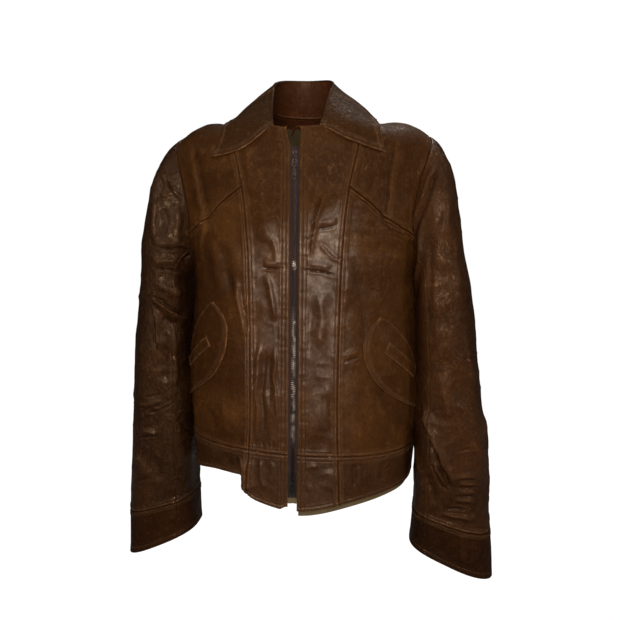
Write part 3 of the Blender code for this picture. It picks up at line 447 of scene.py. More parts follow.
    ("body", "ridge", 1.8, 15, ((165, 0.58), (163, 0.42), (166, 0.28))),
    ("body", "crease", 2.2, 5, ((150, 0.235), (168, 0.225), (186, 0.23), (204, 0.222))),
    ("body", "ridge", 2.6, 9, ((146, 0.265), (164, 0.258), (182, 0.262), (208, 0.252))),
    ("body", "crease", 2.0, 5, ((112, 0.24), (122, 0.25), (134, 0.242))),
    ("body", "crease", 2.0, 5, ((228, 0.24), (238, 0.252), (250, 0.244))),
    ("body", "ridge", 2.4, 9, ((108, 0.275), (122, 0.285), (136, 0.272))),
    ("body", "ridge", 2.4, 9, ((224, 0.272), (238, 0.285), (252, 0.276))),
    ("body", "fold", 3.0, 10, ((140, 0.8), (150, 0.77), (166, 0.755), (184, 0.75))),
    ("body", "ridge", 2.2, 14, ((128, 0.84), (136, 0.78), (142, 0.7))),
    ("body", "ridge", 2.2, 14, ((232, 0.84), (224, 0.78), (218, 0.7))),
    ("body", "groove", 1.6, 12, ((160, 0.92), (162, 0.86), (166, 0.8))),
    ("body", "groove", 1.6, 12, ((200, 0.92), (198, 0.86), (195, 0.8))),
    ("body", "ridge", 2.0, 12, ((84, 0.56), (86, 0.44), (88, 0.3))),
    ("body", "groove", 2.0, 10, ((95, 0.54), (97, 0.42), (98, 0.28))),
    ("body", "ridge", 2.0, 12, ((276, 0.56), (274, 0.44), (272, 0.3))),
    ("body", "groove", 2.0, 10, ((265, 0.54), (263, 0.42), (262, 0.28))),
    ("left", "fold", 2.0, 12, ((-104, 0.11), (-82, 0.14), (-58, 0.18), (-32, 0.2))),
    ("left", "ridge", 2.0, 12, ((-130, 0.15), (-105, 0.21), (-80, 0.27), (-50, 0.3))),
    ("left", "crease", 2.0, 5, ((-150, 0.4), (-120, 0.42), (-90, 0.41), (-60, 0.43))),
    ("left", "ridge", 2.4, 8, ((-150, 0.44), (-120, 0.455), (-90, 0.45), (-56, 0.465))),
    ("left", "crease", 2.4, 5, ((-146, 0.49), (-116, 0.5), (-86, 0.49), (-50, 0.51))),
    ("left", "ridge", 2.8, 8, ((-140, 0.53), (-110, 0.54), (-84, 0.535), (-46, 0.55))),
    ("left", "crease", 2.0, 5, ((-130, 0.58), (-100, 0.575), (-70, 0.585))),
    ("left", "ridge", 2.0, 12, ((-30, 0.25), (-24, 0.36), (-34, 0.48))),
    ("left", "groove", 1.8, 10, ((-10, 0.28), (-6, 0.4), (-12, 0.52))),
    ("left", "ridge", 2.0, 10, ((8, 0.6), (2, 0.7), (10, 0.8))),
    ("left", "ridge", 2.2, 7, ((-110, 0.8), (-80, 0.805), (-40, 0.8), (0, 0.81))),
    ("left", "crease", 1.8, 4, ((-110, 0.825), (-80, 0.83), (-40, 0.825), (0, 0.83))),
    ("left", "ridge", 2.0, 6, ((-100, 0.85), (-70, 0.85), (-36, 0.852), (4, 0.85))),
    ("left", "groove", 1.6, 10, ((-70, 0.62), (-74, 0.7), (-66, 0.77))),
    ("left", "ridge", 1.6, 10, ((-52, 0.62), (-50, 0.7), (-44, 0.77))),
    ("right", "fold", 2.0, 12, ((-104, 0.11), (-82, 0.14), (-58, 0.18), (-32, 0.2))),
    ("right", "ridge", 2.0, 12, ((-130, 0.15), (-105, 0.21), (-80, 0.27), (-50, 0.3))),
    ("right", "crease", 2.0, 5, ((-150, 0.4), (-120, 0.42), (-90, 0.41), (-60, 0.43))),
    ("right", "ridge", 2.4, 8, ((-150, 0.44), (-120, 0.455), (-90, 0.45), (-56, 0.465))),
    ("right", "crease", 2.4, 5, ((-146, 0.49), (-116, 0.5), (-86, 0.49), (-50, 0.51))),
    ("right", "ridge", 2.8, 8, ((-140, 0.53), (-110, 0.54), (-84, 0.535), (-46, 0.55))),
    ("right", "crease", 2.0, 5, ((-130, 0.58), (-100, 0.575), (-70, 0.585))),
    ("right", "ridge", 2.0, 12, ((-30, 0.25), (-24, 0.36), (-34, 0.48))),
    ("right", "groove", 1.8, 10, ((-10, 0.28), (-6, 0.4), (-12, 0.52))),
    ("right", "ridge", 2.0, 10, ((8, 0.6), (2, 0.7), (10, 0.8))),
    ("right", "ridge", 2.2, 7, ((-110, 0.8), (-80, 0.805), (-40, 0.8), (0, 0.81))),
    ("right", "crease", 1.8, 4, ((-110, 0.825), (-80, 0.83), (-40, 0.825), (0, 0.83))),
    ("right", "ridge", 2.0, 6, ((-100, 0.85), (-70, 0.85), (-36, 0.852), (4, 0.85))),
    ("right", "groove", 1.6, 10, ((-70, 0.62), (-74, 0.7), (-66, 0.77))),
    ("right", "ridge", 1.6, 10, ((-52, 0.62), (-50, 0.7), (-44, 0.77))),
)


# ------------------------------------------------------------- noise and folds
def smooth(x):
    x = np.clip(x, 0, 1)
    return x * x * (3 - 2 * x)


def lattice(i, j, k, seed):
    n = i * 73856093 ^ j * 19349663 ^ k * 83492791 ^ (seed * 265443576)
    n = (n ^ (n >> 13)) * 1274126177
    return ((n ^ (n >> 16)) & 0xFFFF) / 32767.5 - 1.0


def noise(p, size, seed):
    """Smooth value noise from -1 to 1. size may be one number or one for each axis."""
    q = p / np.asarray(size, float)
    cell = np.floor(q).astype(np.int64)
    f = q - cell
    f = f * f * f * (f * (f * 6 - 15) + 10)
    total = 0.0
    for a in (0, 1):
        for b in (0, 1):
            for c in (0, 1):
                w = (f[..., 0] if a else 1 - f[..., 0]) * (f[..., 1] if b else 1 - f[..., 1])
                w = w * (f[..., 2] if c else 1 - f[..., 2])
                total = total + w * lattice(cell[..., 0] + a, cell[..., 1] + b, cell[..., 2] + c, seed)
    return total


def fractal(p, size, seed, octaves=3):
    size = np.asarray(size, float)
    total, weight = 0.0, 1.0
    for k in range(octaves):
        total = total + weight * noise(p, size / 2**k, seed + 17 * k)
        weight *= 0.5
    return total / (2 - 2 * weight)


def curve_through(points, steps=14):
    points = np.asarray(points, float)
    if len(points) < 3:
        return points[0] + (points[-1] - points[0]) * np.linspace(0, 1, 5)[:, None]
    knots = np.concatenate([[0], np.cumsum(np.linalg.norm(np.diff(points, axis=0), axis=1))])
    at = np.linspace(0, knots[-1], steps)
    return np.stack([spline(at, knots, points[:, k]) for k in range(points.shape[1])], -1)


def sleeve_place(angle, s, side):
    """A point of the hanging sleeve, with the drop the CAD gives it, drawn on its own side."""
    p = sleeve(angle, s, side)
    p[..., 2] -= SLEEVE_DROP[side] * np.clip((s - 0.1) / 0.9, 0, 1)
    return p * np.array([side, 1, 1])


def fold_lines():
    lines = {"body": [], "left": [], "right": []}
    for where, kind, height, width, points in FOLDS:
        a, b = np.radians(np.array(points)[:, 0]), np.array(points)[:, 1]
        if where == "body":
            place = torso(a, b)
        else:
            place = sleeve_place(a, b, 1 if where == "left" else -1)
        grow = 1.25e-3 if where == "body" else 1.6e-3
        slim = 0.72e-3 if kind == "crease" else 0.85e-3
        lines[where].append((kind, height * grow, width * slim, curve_through(place)))
    return lines


def fold_profile(kind, x):
    if kind == "ridge":
        return np.exp(-x * x)
    if kind == "groove":
        return -np.exp(-x * x)
    if kind == "crease":  # a sharp valley between low shoulders
        return -np.exp(-np.abs(x) * 1.5) + 0.38 * np.exp(-((np.abs(x) - 1.9) ** 2) / 0.8)
    # a fold lies over on one side: a step up, then a long fall
    up, down = np.clip(x, 0, None) / 0.6, np.clip(-x, 0, None) / 0.35
    return up * np.exp(1 - up) - 0.5 * down * np.exp(1 - down)


LINES = fold_lines()


def fold_height(points, outward, where):
    """Height of the listed folds at points of one surface."""
    flat_p, flat_n = points.reshape(-1, 3), outward.reshape(-1, 3)
    height = np.zeros(len(flat_p))
    for kind, amp, width, line in LINES[where]:
        reach = 4.0 * width
        near = np.all((flat_p > line.min(0) - reach) & (flat_p < line.max(0) + reach), axis=1)
        if not near.any():
            continue
        p, n = flat_p[near], flat_n[near]
        best = np.full(len(p), 9.0)
        side = np.ones(len(p))
        way = np.zeros(len(p))
        steps = np.diff(line, axis=0)
        lengths = np.linalg.norm(steps, axis=1)
        before = np.concatenate([[0], np.cumsum(lengths)])
        for k, step in enumerate(steps):
            share = np.clip((p - line[k]) @ step / lengths[k] ** 2, 0, 1)
            off = p - line[k] - share[:, None] * step
            d = np.linalg.norm(off, axis=1)
            closer = d < best
            best = np.where(closer, d, best)
            side = np.where(closer, np.sign((np.cross(n, step) * off).sum(1)), side)
            way = np.where(closer, (before[k] + share * lengths[k]) / before[-1], way)
        ends = smooth(way / 0.22) * smooth((1 - way) / 0.22)
        # a little wander keeps the lines from looking drawn
        wander = 0.25 * width * noise(p, 0.016, 71)
        wide = width * (1 + 0.25 * noise(p, 0.03, 72))
        sign = -1.0 if amp < 0 and kind == "fold" else 1.0
        x = (side * best * sign + wander) / wide
        height[near] += abs(amp) * ends * fold_profile(kind, x)
    return height.reshape(points.shape[:-1])


def crumple(points, outward, seed, size, stretch=(1, 1, 1)):
    """Short soft creases: the folded side of a smooth noise."""
    q = points / np.asarray(stretch, float)
    warp = np.stack([noise(q, size * 2.2, seed + k) for k in (1, 2, 3)], -1) * size * 0.6
    n = noise(q + warp, size, seed)
    return 1 - 2.4 * np.abs(n) ** 0.8


# ------------------------------------------------------------ cloth simulation
def grid_faces(ni, nj, ring=False):
    i, j = np.meshgrid(np.arange(ni if ring else ni - 1), np.arange(nj - 1), indexing="ij")
    a = i * nj + j
    b = ((i + 1) % ni) * nj + j
    return np.stack([a, b, b + 1, a + 1], -1).reshape(-1, 4)


def settle(points, hold, grown, frames, ring, stiff, bend, seed, push=0.0):
    """Cloth on a grid of points. hold is 1 where the sheet is sewn down and small elsewhere;
    grown holds the same grid at the size the leather wants to be. Returns the moved points."""
    ni, nj = points.shape[:2]
    # a small start keeps the buckles from waiting on rounding
    kick = noise(points, 0.035, seed)[..., None] * normals_of(points, ring) * 0.0012
    start = points + kick * (1 - hold)[..., None]
    mesh = bpy.data.meshes.new("sheet")
    mesh.from_pydata(start.reshape(-1, 3).tolist(), [], grid_faces(ni, nj, ring).tolist())
    mesh.update()
    obj = bpy.data.objects.new("sheet", mesh)
    bpy.context.scene.collection.objects.link(obj)
    obj.shape_key_add(name="Basis")
    rest = obj.shape_key_add(name="Rest")
    rest.data.foreach_set("co", grown.astype(np.float32).ravel())
    rest.value = 0.0
    group = obj.vertex_groups.new(name="hold")
    for level in np.unique(np.round(hold, 2)):
        group.add(np.nonzero(np.abs(hold.ravel() - level) < 0.006)[0].tolist(), float(level), "REPLACE")
    cloth = obj.modifiers.new("cloth", "CLOTH")
    s = cloth.settings
    s.quality = 5
    s.mass = 0.35
    s.tension_stiffness = s.compression_stiffness = stiff
    s.shear_stiffness = stiff * 0.6
    s.bending_stiffness = bend
    s.air_damping = 3.0
    s.effector_weights.gravity = 0.0
    s.vertex_group_mass = "hold"
    s.pin_stiffness = 1.0
    s.rest_shape_key = rest
    if push:
        s.use_pressure = True
        s.uniform_pressure_force = push
    cloth.collision_settings.use_collision = False
    cloth.collision_settings.use_self_collision = False
    cloth.point_cache.frame_start, cloth.point_cache.frame_end = 1, frames
    for k in range(1, frames + 1):
        bpy.context.scene.frame_set(k)
    got = obj.evaluated_get(bpy.context.evaluated_depsgraph_get()).to_mesh()
    moved = np.zeros(ni * nj * 3, np.float32)
    got.vertices.foreach_get("co", moved)
    moved = moved.reshape(ni, nj, 3).astype(float)
    obj.to_mesh_clear()
    bpy.data.objects.remove(obj, do_unlink=True)
    bpy.data.meshes.remove(mesh)
    bpy.context.scene.frame_set(1)
    return moved


def normals_of(points, ring=False):
    """Outward normals of a grid whose first index runs round and second runs up or along."""
    if ring:
        a = np.roll(points, -1, 0) - np.roll(points, 1, 0)
    else:
        a = np.gradient(points, axis=0)
    b = np.gradient(points, axis=1)
    n = np.cross(a, b)
    return n / np.maximum(np.linalg.norm(n, axis=-1, keepdims=True), 1e-12)


def soften(field, passes, ring):
    """Smooths a grid of vectors."""
    for _ in range(passes):
        if ring:
            field = 0.5 * field + 0.25 * (np.roll(field, 1, 0) + np.roll(field, -1, 0))
        else:
            inner = 0.5 * field[1:-1] + 0.25 * (field[2:] + field[:-2])
            field = np.concatenate([field[:1], inner, field[-1:]])
        inner = 0.5 * field[:, 1:-1] + 0.25 * (field[:, 2:] + field[:, :-2])
        field = np.concatenate([field[:, :1], inner, field[:, -1:]], 1)
    return field


def sample(field, u, v, ring):
    """Smooth reading of a grid of vectors at u and v, given in cells."""
    ni, nj = field.shape[:2]
    v = np.clip(v, 0, nj - 1.0001)
    if not ring:
        u = np.clip(u, 0, ni - 1.0001)
    iu, iv = np.floor(u).astype(int), np.floor(v).astype(int)
    fu, fv = u - iu, v - iv

    def weights(f):
        return (((-f + 2) * f - 1) * f / 2, ((3 * f - 5) * f * f + 2) / 2,
                ((-3 * f + 4) * f + 1) * f / 2, (f - 1) * f * f / 2)

    wu, wv = weights(fu), weights(fv)
    total = 0.0
    for a in range(4):
        i = (iu + a - 1) % ni if ring else np.clip(iu + a - 1, 0, ni - 1)
        for b in range(4):
            j = np.clip(iv + b - 1, 0, nj - 1)
            total = total + (wu[a] * wv[b])[..., None] * field[i, j]
    return total


BODY_N, BODY_M = 200, 84  # grid of the body simulation: round, and waistband to neck
ARM_N, ARM_M = 84, 110
BODY_T = np.linspace(0.10, 1.0, BODY_M)
drape = {"body": None, "left": None, "right": None}


def drape_body():
    phi = np.linspace(0, 2 * math.pi, BODY_N, endpoint=False)
    a, t = np.meshgrid(phi, BODY_T, indexing="ij")
    base = torso(a, t)
    # sewn down at the waistband, the neck, the armholes and along the zip
    hold = np.full(a.shape, 0.03)
    hold[:, BODY_T < 0.155] = 1.0
    hold[:, BODY_T > 0.965] = 1.0
    hold[(np.abs(base[..., 0]) < 0.016) & (base[..., 1] < 0)] = 1.0
    side = np.abs(np.arcsin(np.clip(np.abs(np.sin(a)), 0, 1)) - math.pi / 2)
    hold[(side < arm_opening(t) + 0.03) & (t > ARM_LOW - 0.01) & (t < ARM_TOP + 0.02)] = 1.0
    seam = np.abs(np.abs(np.degrees(np.where(a > math.pi, 2 * math.pi - a, a))) - np.degrees(princess(t))) < 2.0
    hold[seam] = np.maximum(hold[seam], 0.35)
    grown = base * np.array([1.022, 1.022, 1.045])
    moved = settle(base, hold, grown, 26, True, 18.0, 0.9, 11, push=0.25)
    d = moved - base
    size = np.linalg.norm(d, axis=-1, keepdims=True)
    d *= np.minimum(1, 0.009 / np.maximum(size, 1e-9))
    return soften(d, 1, True)


def drape_sleeve(side):
    angle = np.linspace(0, 2 * math.pi, ARM_N, endpoint=False)
    a, s = np.meshgrid(angle, np.linspace(0, 1, ARM_M), indexing="ij")
    base = sleeve_place(a, s, side)
    hold = np.full(a.shape, 0.03)
    hold[s < 0.03] = 1.0
    hold[s > 0.90] = 1.0
    hold[np.abs(s - CUFF) < 0.012] = 1.0
    mid = base.mean((0, 1))
    grown = (base - mid) * np.array([1.02, 1.02, 1.065]) + mid
    moved = settle(base, hold, grown, 26, True, 18.0, 0.7, 23 if side > 0 else 37, push=0.25)
    d = moved - base
    size = np.linalg.norm(d, axis=-1, keepdims=True)
    d *= np.minimum(1, 0.008 / np.maximum(size, 1e-9))
    return soften(d, 1, True)


drape["body"] = drape_body()
drape["left"] = drape_sleeve(1)
drape["right"] = drape_sleeve(-1)


def read_body_drape(phi, t):
    if drape["body"] is None:
        return 0.0
    u = (phi / (2 * math.pi) * BODY_N) % BODY_N
    v = (t - BODY_T[0]) / (BODY_T[1] - BODY_T[0])
    fade = smooth((t - 0.10) / 0.05)[..., None]
    return sample(drape["body"], u, v, True) * fade


def read_arm_drape(angle, s, side):
    field = drape["left" if side > 0 else "right"]
    if field is None:
        return 0.0
    return sample(field, (angle / (2 * math.pi) * ARM_N) % ARM_N, s * (ARM_M - 1), True)


# ------------------------------------------------------- the shaped surfaces
def shoulder_dip(phi, t):
    """The shoulders run out almost level and climb steeply to the neck."""
    turn = np.degrees(np.where(phi % (2 * math.pi) > math.pi, 2 * math.pi - phi % (2 * math.pi), phi % (2 * math.pi)))
    low = np.where(t < 0.973, 0.018, 0.012)
    return 0.015 * np.exp(-((t - 0.973) / low) ** 2) * np.exp(-((turn - 88.0) / 27.0) ** 2)


# make_panel paints shade into the valleys of this relief and lightens its tops, part rub and part painted highlight
shade = {"height": None}  # relief of the last surface asked for, for its colour


def hem_tuck(phi, t):
    """On the wearer's right the waistband is rolled under beside the front, so its hem sits higher."""
    turn = -np.degrees((phi + math.pi) % (2 * math.pi) - math.pi)
    high = 0.022 * np.clip(1 - (turn - 31.0) / 34.0, 0, 1) * smooth((turn - 28.6) / 4.8)
    high = high + 0.004 * smooth((turn - 22.0) / 8.0) * smooth((66.0 - turn) / 20.0)
    high = high + 0.005 * smooth((8.0 - turn) / 4.5) * smooth(turn / 1.5)
    return high * (1 - smooth(t / 0.145))


def body(phi, t, lift=0.0):
    """Point of the jacket's body as it hangs, and the outward direction there."""
    phi, t = np.broadcast_arrays(np.asarray(phi, float), np.asarray(t, float))
    inside = np.clip(t, 0.002, 0.998)
    p, n = torso(phi, inside), normals(torso, phi, inside)
    h = fold_height(p, n, "body")
    h = h + 0.0017 * fractal(p, (0.075, 0.075, 0.12), 5, 2)
    soft = smooth((t - 0.15) / 0.04)
    h = h + 0.00030 * soft * crumple(p, n, 31, 0.021, (1, 1, 1.25))
    h = h + 0.00040 * soft * crumple(p, n, 57, 0.034, (1.3, 1.3, 0.8))
    # straight beside the zip, and quiet at the neck seam
    calm = np.where(p[..., 1] < 0, smooth((np.abs(p[..., 0]) - 0.009) / 0.022), 1.0)
    calm = calm * (0.35 + 0.65 * smooth((1.0 - t) / 0.06))
    # the sides lean out against the hanging sleeves
    x = np.abs(np.degrees(np.where(phi % (2 * math.pi) > math.pi, 2 * math.pi - phi % (2 * math.pi), phi % (2 * math.pi))) - 84.0)
    h = h + 0.0034 * smooth(1 - x / 26.0) * smooth((t - 0.14) / 0.12) * smooth((0.64 - t) / 0.10)
    move = read_body_drape(phi, inside)
    if not np.isscalar(move):
        move = move * calm[..., None]
    shade["height"] = h * calm
    tuck = hem_tuck(phi, t)
    down = np.zeros(p.shape)
    down[..., 2] = tuck - shoulder_dip(phi, t)
    return p + n * (h * calm + lift - 0.35 * tuck)[..., None] + move + down, n


def arm(angle, s, side, lift=0.0):
    """Point of a sleeve as it hangs, on its own side, and the outward direction there."""
    angle, s = np.broadcast_arrays(np.asarray(angle, float), np.asarray(s, float))
    where = "left" if side > 0 else "right"
    inside = np.clip(s, 0.002, 0.998)
    shape = lambda x, y: sleeve(x, y, side)
    n = normals(shape, angle, inside) * np.array([side, 1, 1])
    # the grid's own turn decides which way out is
    mid = sleeve_place(np.linspace(0, 2 * math.pi, 24, endpoint=False)[:, None], np.array([[0.4]]), side).mean((0, 1))
    probe = sleeve_place(np.array(0.0), np.array(0.4), side) - mid
    if (normals(shape, np.array(0.0), np.array(0.4)) * np.array([side, 1, 1])) @ probe < 0:
        n = -n
    p = sleeve_place(angle, s, side)
    h = fold_height(p, n, where)
    h = h + 0.0019 * fractal(p, (0.07, 0.07, 0.10), 7 + side, 2)
    soft = smooth((0.885 - s) / 0.03)
    h = h + 0.00042 * soft * crumple(p, n, 41 + side, 0.022, (1.1, 1.1, 1.0))
    h = h + 0.00075 * soft * crumple(p, n, 67 + side, 0.040, (1.6, 1.6, 0.75))
    # and the sleeves lie against the sides
    lean = smooth((np.cos(angle - math.pi) - 0.35) / 0.5) * smooth((s - 0.10) / 0.12) * smooth((0.80 - s) / 0.25)
    shade["height"] = h * smooth(s / 0.075)
    h = h + 0.0036 * lean
    w = smooth(s / 0.075)
    # the edge sewn into the armhole goes wherever the body's edge goes
    phi, t = armhole(angle)
    kept = shade["height"]
    hole, _ = body(side * phi, t)
    shade["height"] = kept
    shift = hole - torso(side * phi, t)
    move = read_arm_drape(angle, s, side)
    if not np.isscalar(move):
        move = move * w[..., None]
    fade = np.clip(s / 0.05, 0, 1)
    return p + n * (h * w + lift * fade)[..., None] + move + shift * (1 - w)[..., None], n


# ------------------------------------------------------------------- meshes
def link(name, mesh):
    obj = bpy.data.objects.new(name, mesh)
    bpy.context.scene.collection.objects.link(obj)
    return obj


def paint(mesh, name, values):
    values = np.asarray(values, np.float32)
    kind = "FLOAT_VECTOR" if values.ndim == 2 else "FLOAT"
    layer = mesh.attributes.new(name, kind, "POINT")
    layer.data.foreach_set("vector" if values.ndim == 2 else "value", values.ravel())


def finish_mesh(name, verts, faces, material, sharp=55.0, wear_and_highlight=None, dark=None):
    """A mesh in world metres from points in the cutting frame. 'at' keeps each point's
    place at rest, so that the grain stays on the leather when the piece moves."""
    mesh = bpy.data.meshes.new(name)
    world = verts - HANG
    mesh.from_pydata(world.tolist(), [], faces.tolist() if isinstance(faces, np.ndarray) else faces)
    mesh.update()
    mesh.shade_smooth()
    mesh.set_sharp_from_angle(angle=math.radians(sharp))
    paint(mesh, "at", world)
    if wear_and_highlight is not None:
        paint(mesh, "wear_and_highlight", wear_and_highlight)
    if dark is not None:
        paint(mesh, "dark", dark)
    mesh.materials.append(material)
    return link(name, mesh)


def shell_arrays(outer, thick, ring=False, seams=0.0):
    """Closed solid from a grid of outer points: outer face, inner face and rim."""
    ni, nj = outer.shape[:2]
    n = normals_of(outer, ring)
    inner = outer - n * np.asarray(thick, float).reshape((1, 1, 1) if np.isscalar(thick) else (ni, nj, 1))
    verts = np.concatenate([outer.reshape(-1, 3), inner.reshape(-1, 3)])
    face = grid_faces(ni, nj, ring)
    count = ni * nj
    back = face[:, ::-1] + count
    loops = []
    low = [i * nj for i in range(ni)]
    high = [i * nj + nj - 1 for i in range(ni)]
    runs = [(low, False), (high, True)]
    if not ring:
        runs += [(list(range(nj)), True), (list(range((ni - 1) * nj, ni * nj)), False)]
    for run, flip in runs:
        closed = ring
        pairs = list(zip(run, run[1:])) + ([(run[-1], run[0])] if closed else [])
        for a, b in pairs:
            quad = [a, b, b + count, a + count]
            loops.append(quad if flip else quad[::-1])
    faces = np.concatenate([face, back, np.array(loops)])
    return verts, faces


def outward_check(verts, faces):
    """Turns a closed mesh the right way out by its signed volume."""
    v = verts - verts.mean(0)
    a, b, c, d = (v[faces[:, k]] for k in range(4))
    volume = (np.cross(a, b) * c).sum() + (np.cross(a, c) * d).sum()
    return faces if volume > 0 else faces[:, ::-1]


class Edge:
    """How a panel ends: fine columns there, the seam's relief and its rows of stitches."""

    def __init__(self, kind="seam", stitches=(), drop=0.0007, swell=0.0009, reach=0.008, tone=1.0):
        self.kind, self.stitches, self.tone = kind, tuple(stitches), tone
        self.drop, self.swell, self.reach = drop, swell, reach

    def marks(self):
        """Distances from the edge that need a column of their own."""
        if self.kind == "none":
            return [0.0]
        base = [0.0, 0.0003, 0.0007, 0.0012, 0.0019, 0.0028]
        for s in self.stitches:
            base += [s - 0.0011, s - 0.0005, s, s + 0.0005, s + 0.0011]
        base += [self.reach - 0.001, self.reach + 0.001]
        base = sorted(base)
        out = [base[0]]
        for k in base[1:]:
            if k - out[-1] > 0.00024 or any(abs(k - s) < 1e-9 for s in self.stitches):
                if k - out[-1] <= 0.00024:
                    out[-1] = k
                else:
                    out.append(k)
        return out

    def height(self, d, run, seed):
        """Relief at distance d from the edge; run is the distance along it."""
        if self.kind == "none":
            return np.zeros_like(d), np.zeros_like(d), np.zeros_like(d)
        if self.kind == "seam":
            h = -self.drop * np.exp(-(d / 0.0011) ** 1.3)
            h = h + self.swell * smooth(d / 0.0018) * (1 - smooth((d - self.reach + 0.0015) / 0.0035))
            # painted shade in the seam's groove, painted highlight on the swell beside it
            dark = 0.25 * np.exp(-(d / 0.0006) ** 2)
            wear_and_highlight = 0.50 * np.exp(-((d - 0.0022) / 0.0012) ** 2)
        elif self.kind == "fold":  # a turned edge: rounded over and slightly full
            h = -0.0011 * (1 - np.sqrt(np.clip(1 - (1 - np.clip(d / 0.0016, 0, 1)) ** 2, 0, 1)))
            h = h + self.swell * smooth(d / 0.001) * (1 - smooth((d - self.reach + 0.0015) / 0.0035))
            dark = 0.0 * d
            # lighter rounded edge: part real rub, part painted highlight
            wear_and_highlight = 0.95 * np.exp(-(d / 0.0013) ** 2)
        else:  # "piped": a high narrow ridge along the seam
            h = -0.8 * self.drop * np.exp(-(d / 0.0007) ** 1.4) + 0.0019 * np.exp(-((d - 0.0026) / 0.0016) ** 2)
            h = h + self.swell * smooth(d / 0.0018) * (1 - smooth((d - self.reach + 0.0015) / 0.0035))
            # painted shade in the groove, painted highlight on top of the ridge
            dark = 0.35 * np.exp(-(d / 0.0006) ** 2)
            wear_and_highlight = 0.8 * np.exp(-((d - 0.0026) / 0.0014) ** 2)
        pucker = np.stack([run, run * 0, run * 0 + seed * 3.1], -1)
        beat = noise(pucker, 0.0065, seed) + 0.6 * noise(pucker, 0.0032, seed + 1)
        for s in self.stitches:
            h = h - 0.00075 * np.exp(-((d - s) / 0.00085) ** 2)
            h = h + 0.00036 * beat * np.exp(-((d - s) / 0.0030) ** 2)
            # painted shade in the stitch holes, painted highlight on the ridges either side
            dark = dark + 0.30 * np.exp(-((d - s) / 0.0007) ** 2)
            wear_and_highlight = wear_and_highlight + 0.34 * np.exp(-((np.abs(d - s) - 0.0019) / 0.0010) ** 2)
        return h, wear_and_highlight * self.tone, dark * self.tone


def interp_rows(at, table_x, table_y):
    """np.interp for each column of a table."""
    return np.stack([np.interp(at[:, k], table_x[:, k], table_y) for k in range(at.shape[1])], 1)


def bilinear(table, u, v):
    a, b = (table.shape[0] - 1) * np.clip(u, 0, 1), (table.shape[1] - 1) * np.clip(v, 0, 1)
    i, j = np.minimum(a.astype(int), table.shape[0] - 2), np.minimum(b.astype(int), table.shape[1] - 2)
    f, g = a - i, b - j
    return ((table[i, j] * (1 - f) + table[i + 1, j] * f) * (1 - g)
            + (table[i, j + 1] * (1 - f) + table[i + 1, j + 1] * f) * g)


def line_up(lo, hi, length, step):
    """Column plan: marks from the low edge, even columns, marks from the high edge."""
    a, b = lo.marks(), hi.marks()
    middle = max(2, round((length - a[-1] - b[-1]) / step))
    plan = [("lo", k) for k in a]
    plan += [("mid", k / middle) for k in range(1, middle)]
    plan += [("hi", k) for k in reversed(b)]
    return plan, a[-1], b[-1]


def targets(plan, a_end, b_end, width):
    squeeze = np.minimum(1.0, 0.9 * width / max(a_end + b_end, 1e-9))
    rows = []
    for kind, k in plan:
        if kind == "lo":
            rows.append(k * squeeze)
        elif kind == "hi":
            rows.append(width - k * squeeze)
        else:
            rows.append(a_end * squeeze + k * (width - (a_end + b_end) * squeeze))
    return np.stack(rows)


class Panel:
    """A grid over a patch of a surface. where(u, v) gives the surface's own two
    parameters; place(p, q) gives points."""

    def __init__(self, name, where, place, edges, step=0.002, step_v=None, coarse=(41, 81)):
        self.name = name
        u_lo, u_hi, v_lo, v_hi = edges
        cu, cv = np.linspace(0, 1, coarse[0]), np.linspace(0, 1, coarse[1])
        p, q = where(*np.meshgrid(cu, cv, indexing="ij"))
        g = place(p, q)
        lu = np.concatenate([np.zeros((1, len(cv))), np.cumsum(np.linalg.norm(np.diff(g, axis=0), axis=-1), 0)])
        lv = np.concatenate([np.zeros((len(cu), 1)), np.cumsum(np.linalg.norm(np.diff(g, axis=1), axis=-1), 1)], 1)
        plan_u, ua, ub = line_up(u_lo, u_hi, float(np.median(lu[-1])), step)
        plan_v, va, vb = line_up(v_lo, v_hi, float(np.median(lv[:, -1])), step_v or step)
        du = targets(plan_u, ua, ub, lu[-1])
        dv = targets(plan_v, va, vb, lv[:, -1])
        table_u = interp_rows(du, lu, cu)  # column, coarse v -> u
        table_v = interp_rows(dv, lv.T, cv)  # row, coarse u -> v
        nu, nv = len(plan_u), len(plan_v)
        v = np.broadcast_to(np.median(table_v, 1)[None, :], (nu, nv)).copy()
        u = np.zeros((nu, nv))
        for _ in range(4):
            for i in range(nu):
                u[i] = np.interp(v[i], cv, table_u[i])
            for j in range(nv):
                v[:, j] = np.interp(u[:, j], cu, table_v[j])
        self.u, self.v = u, v
        self.a, self.b = where(u, v)
        self.d = [bilinear(lu, u, v), None, bilinear(lv, u, v), None]
        self.d[1] = bilinear(np.broadcast_to(lu[-1], lu.shape), u, v) - self.d[0]
        self.d[3] = bilinear(np.broadcast_to(lv[:, -1:], lv.shape), u, v) - self.d[2]
        self.edges = edges
        self.plans = (plan_u, plan_v)
        self.seed = sum(map(ord, name)) % 97

    def relief(self):
        h = wear_and_highlight = dark = 0.0
        for k, edge in enumerate(self.edges):
            run = self.d[2] if k < 2 else self.d[0]
            x, y, z = edge.height(np.maximum(self.d[k], 0), run, self.seed + k)
            h, wear_and_highlight, dark = h + x, wear_and_highlight + y, dark + z
        return h, wear_and_highlight, dark

    def row(self, edge, distance):
        """Index of the column (or row) that runs at a distance from an edge."""
        plan = self.plans[0 if edge < 2 else 1]
        word = "lo" if edge in (0, 2) else "hi"
        for k, (kind, d) in enumerate(plan):
            if kind == word and abs(d - distance) < 1e-9:
                return k
        raise ValueError(distance)


seams = {}  # body name -> list of (points, outward, pitch)


def add_thread(group, points, outward, skip=0.0):
    """Keeps a line of stitches for later."""
    seams.setdefault(group, []).append((points, outward, skip))


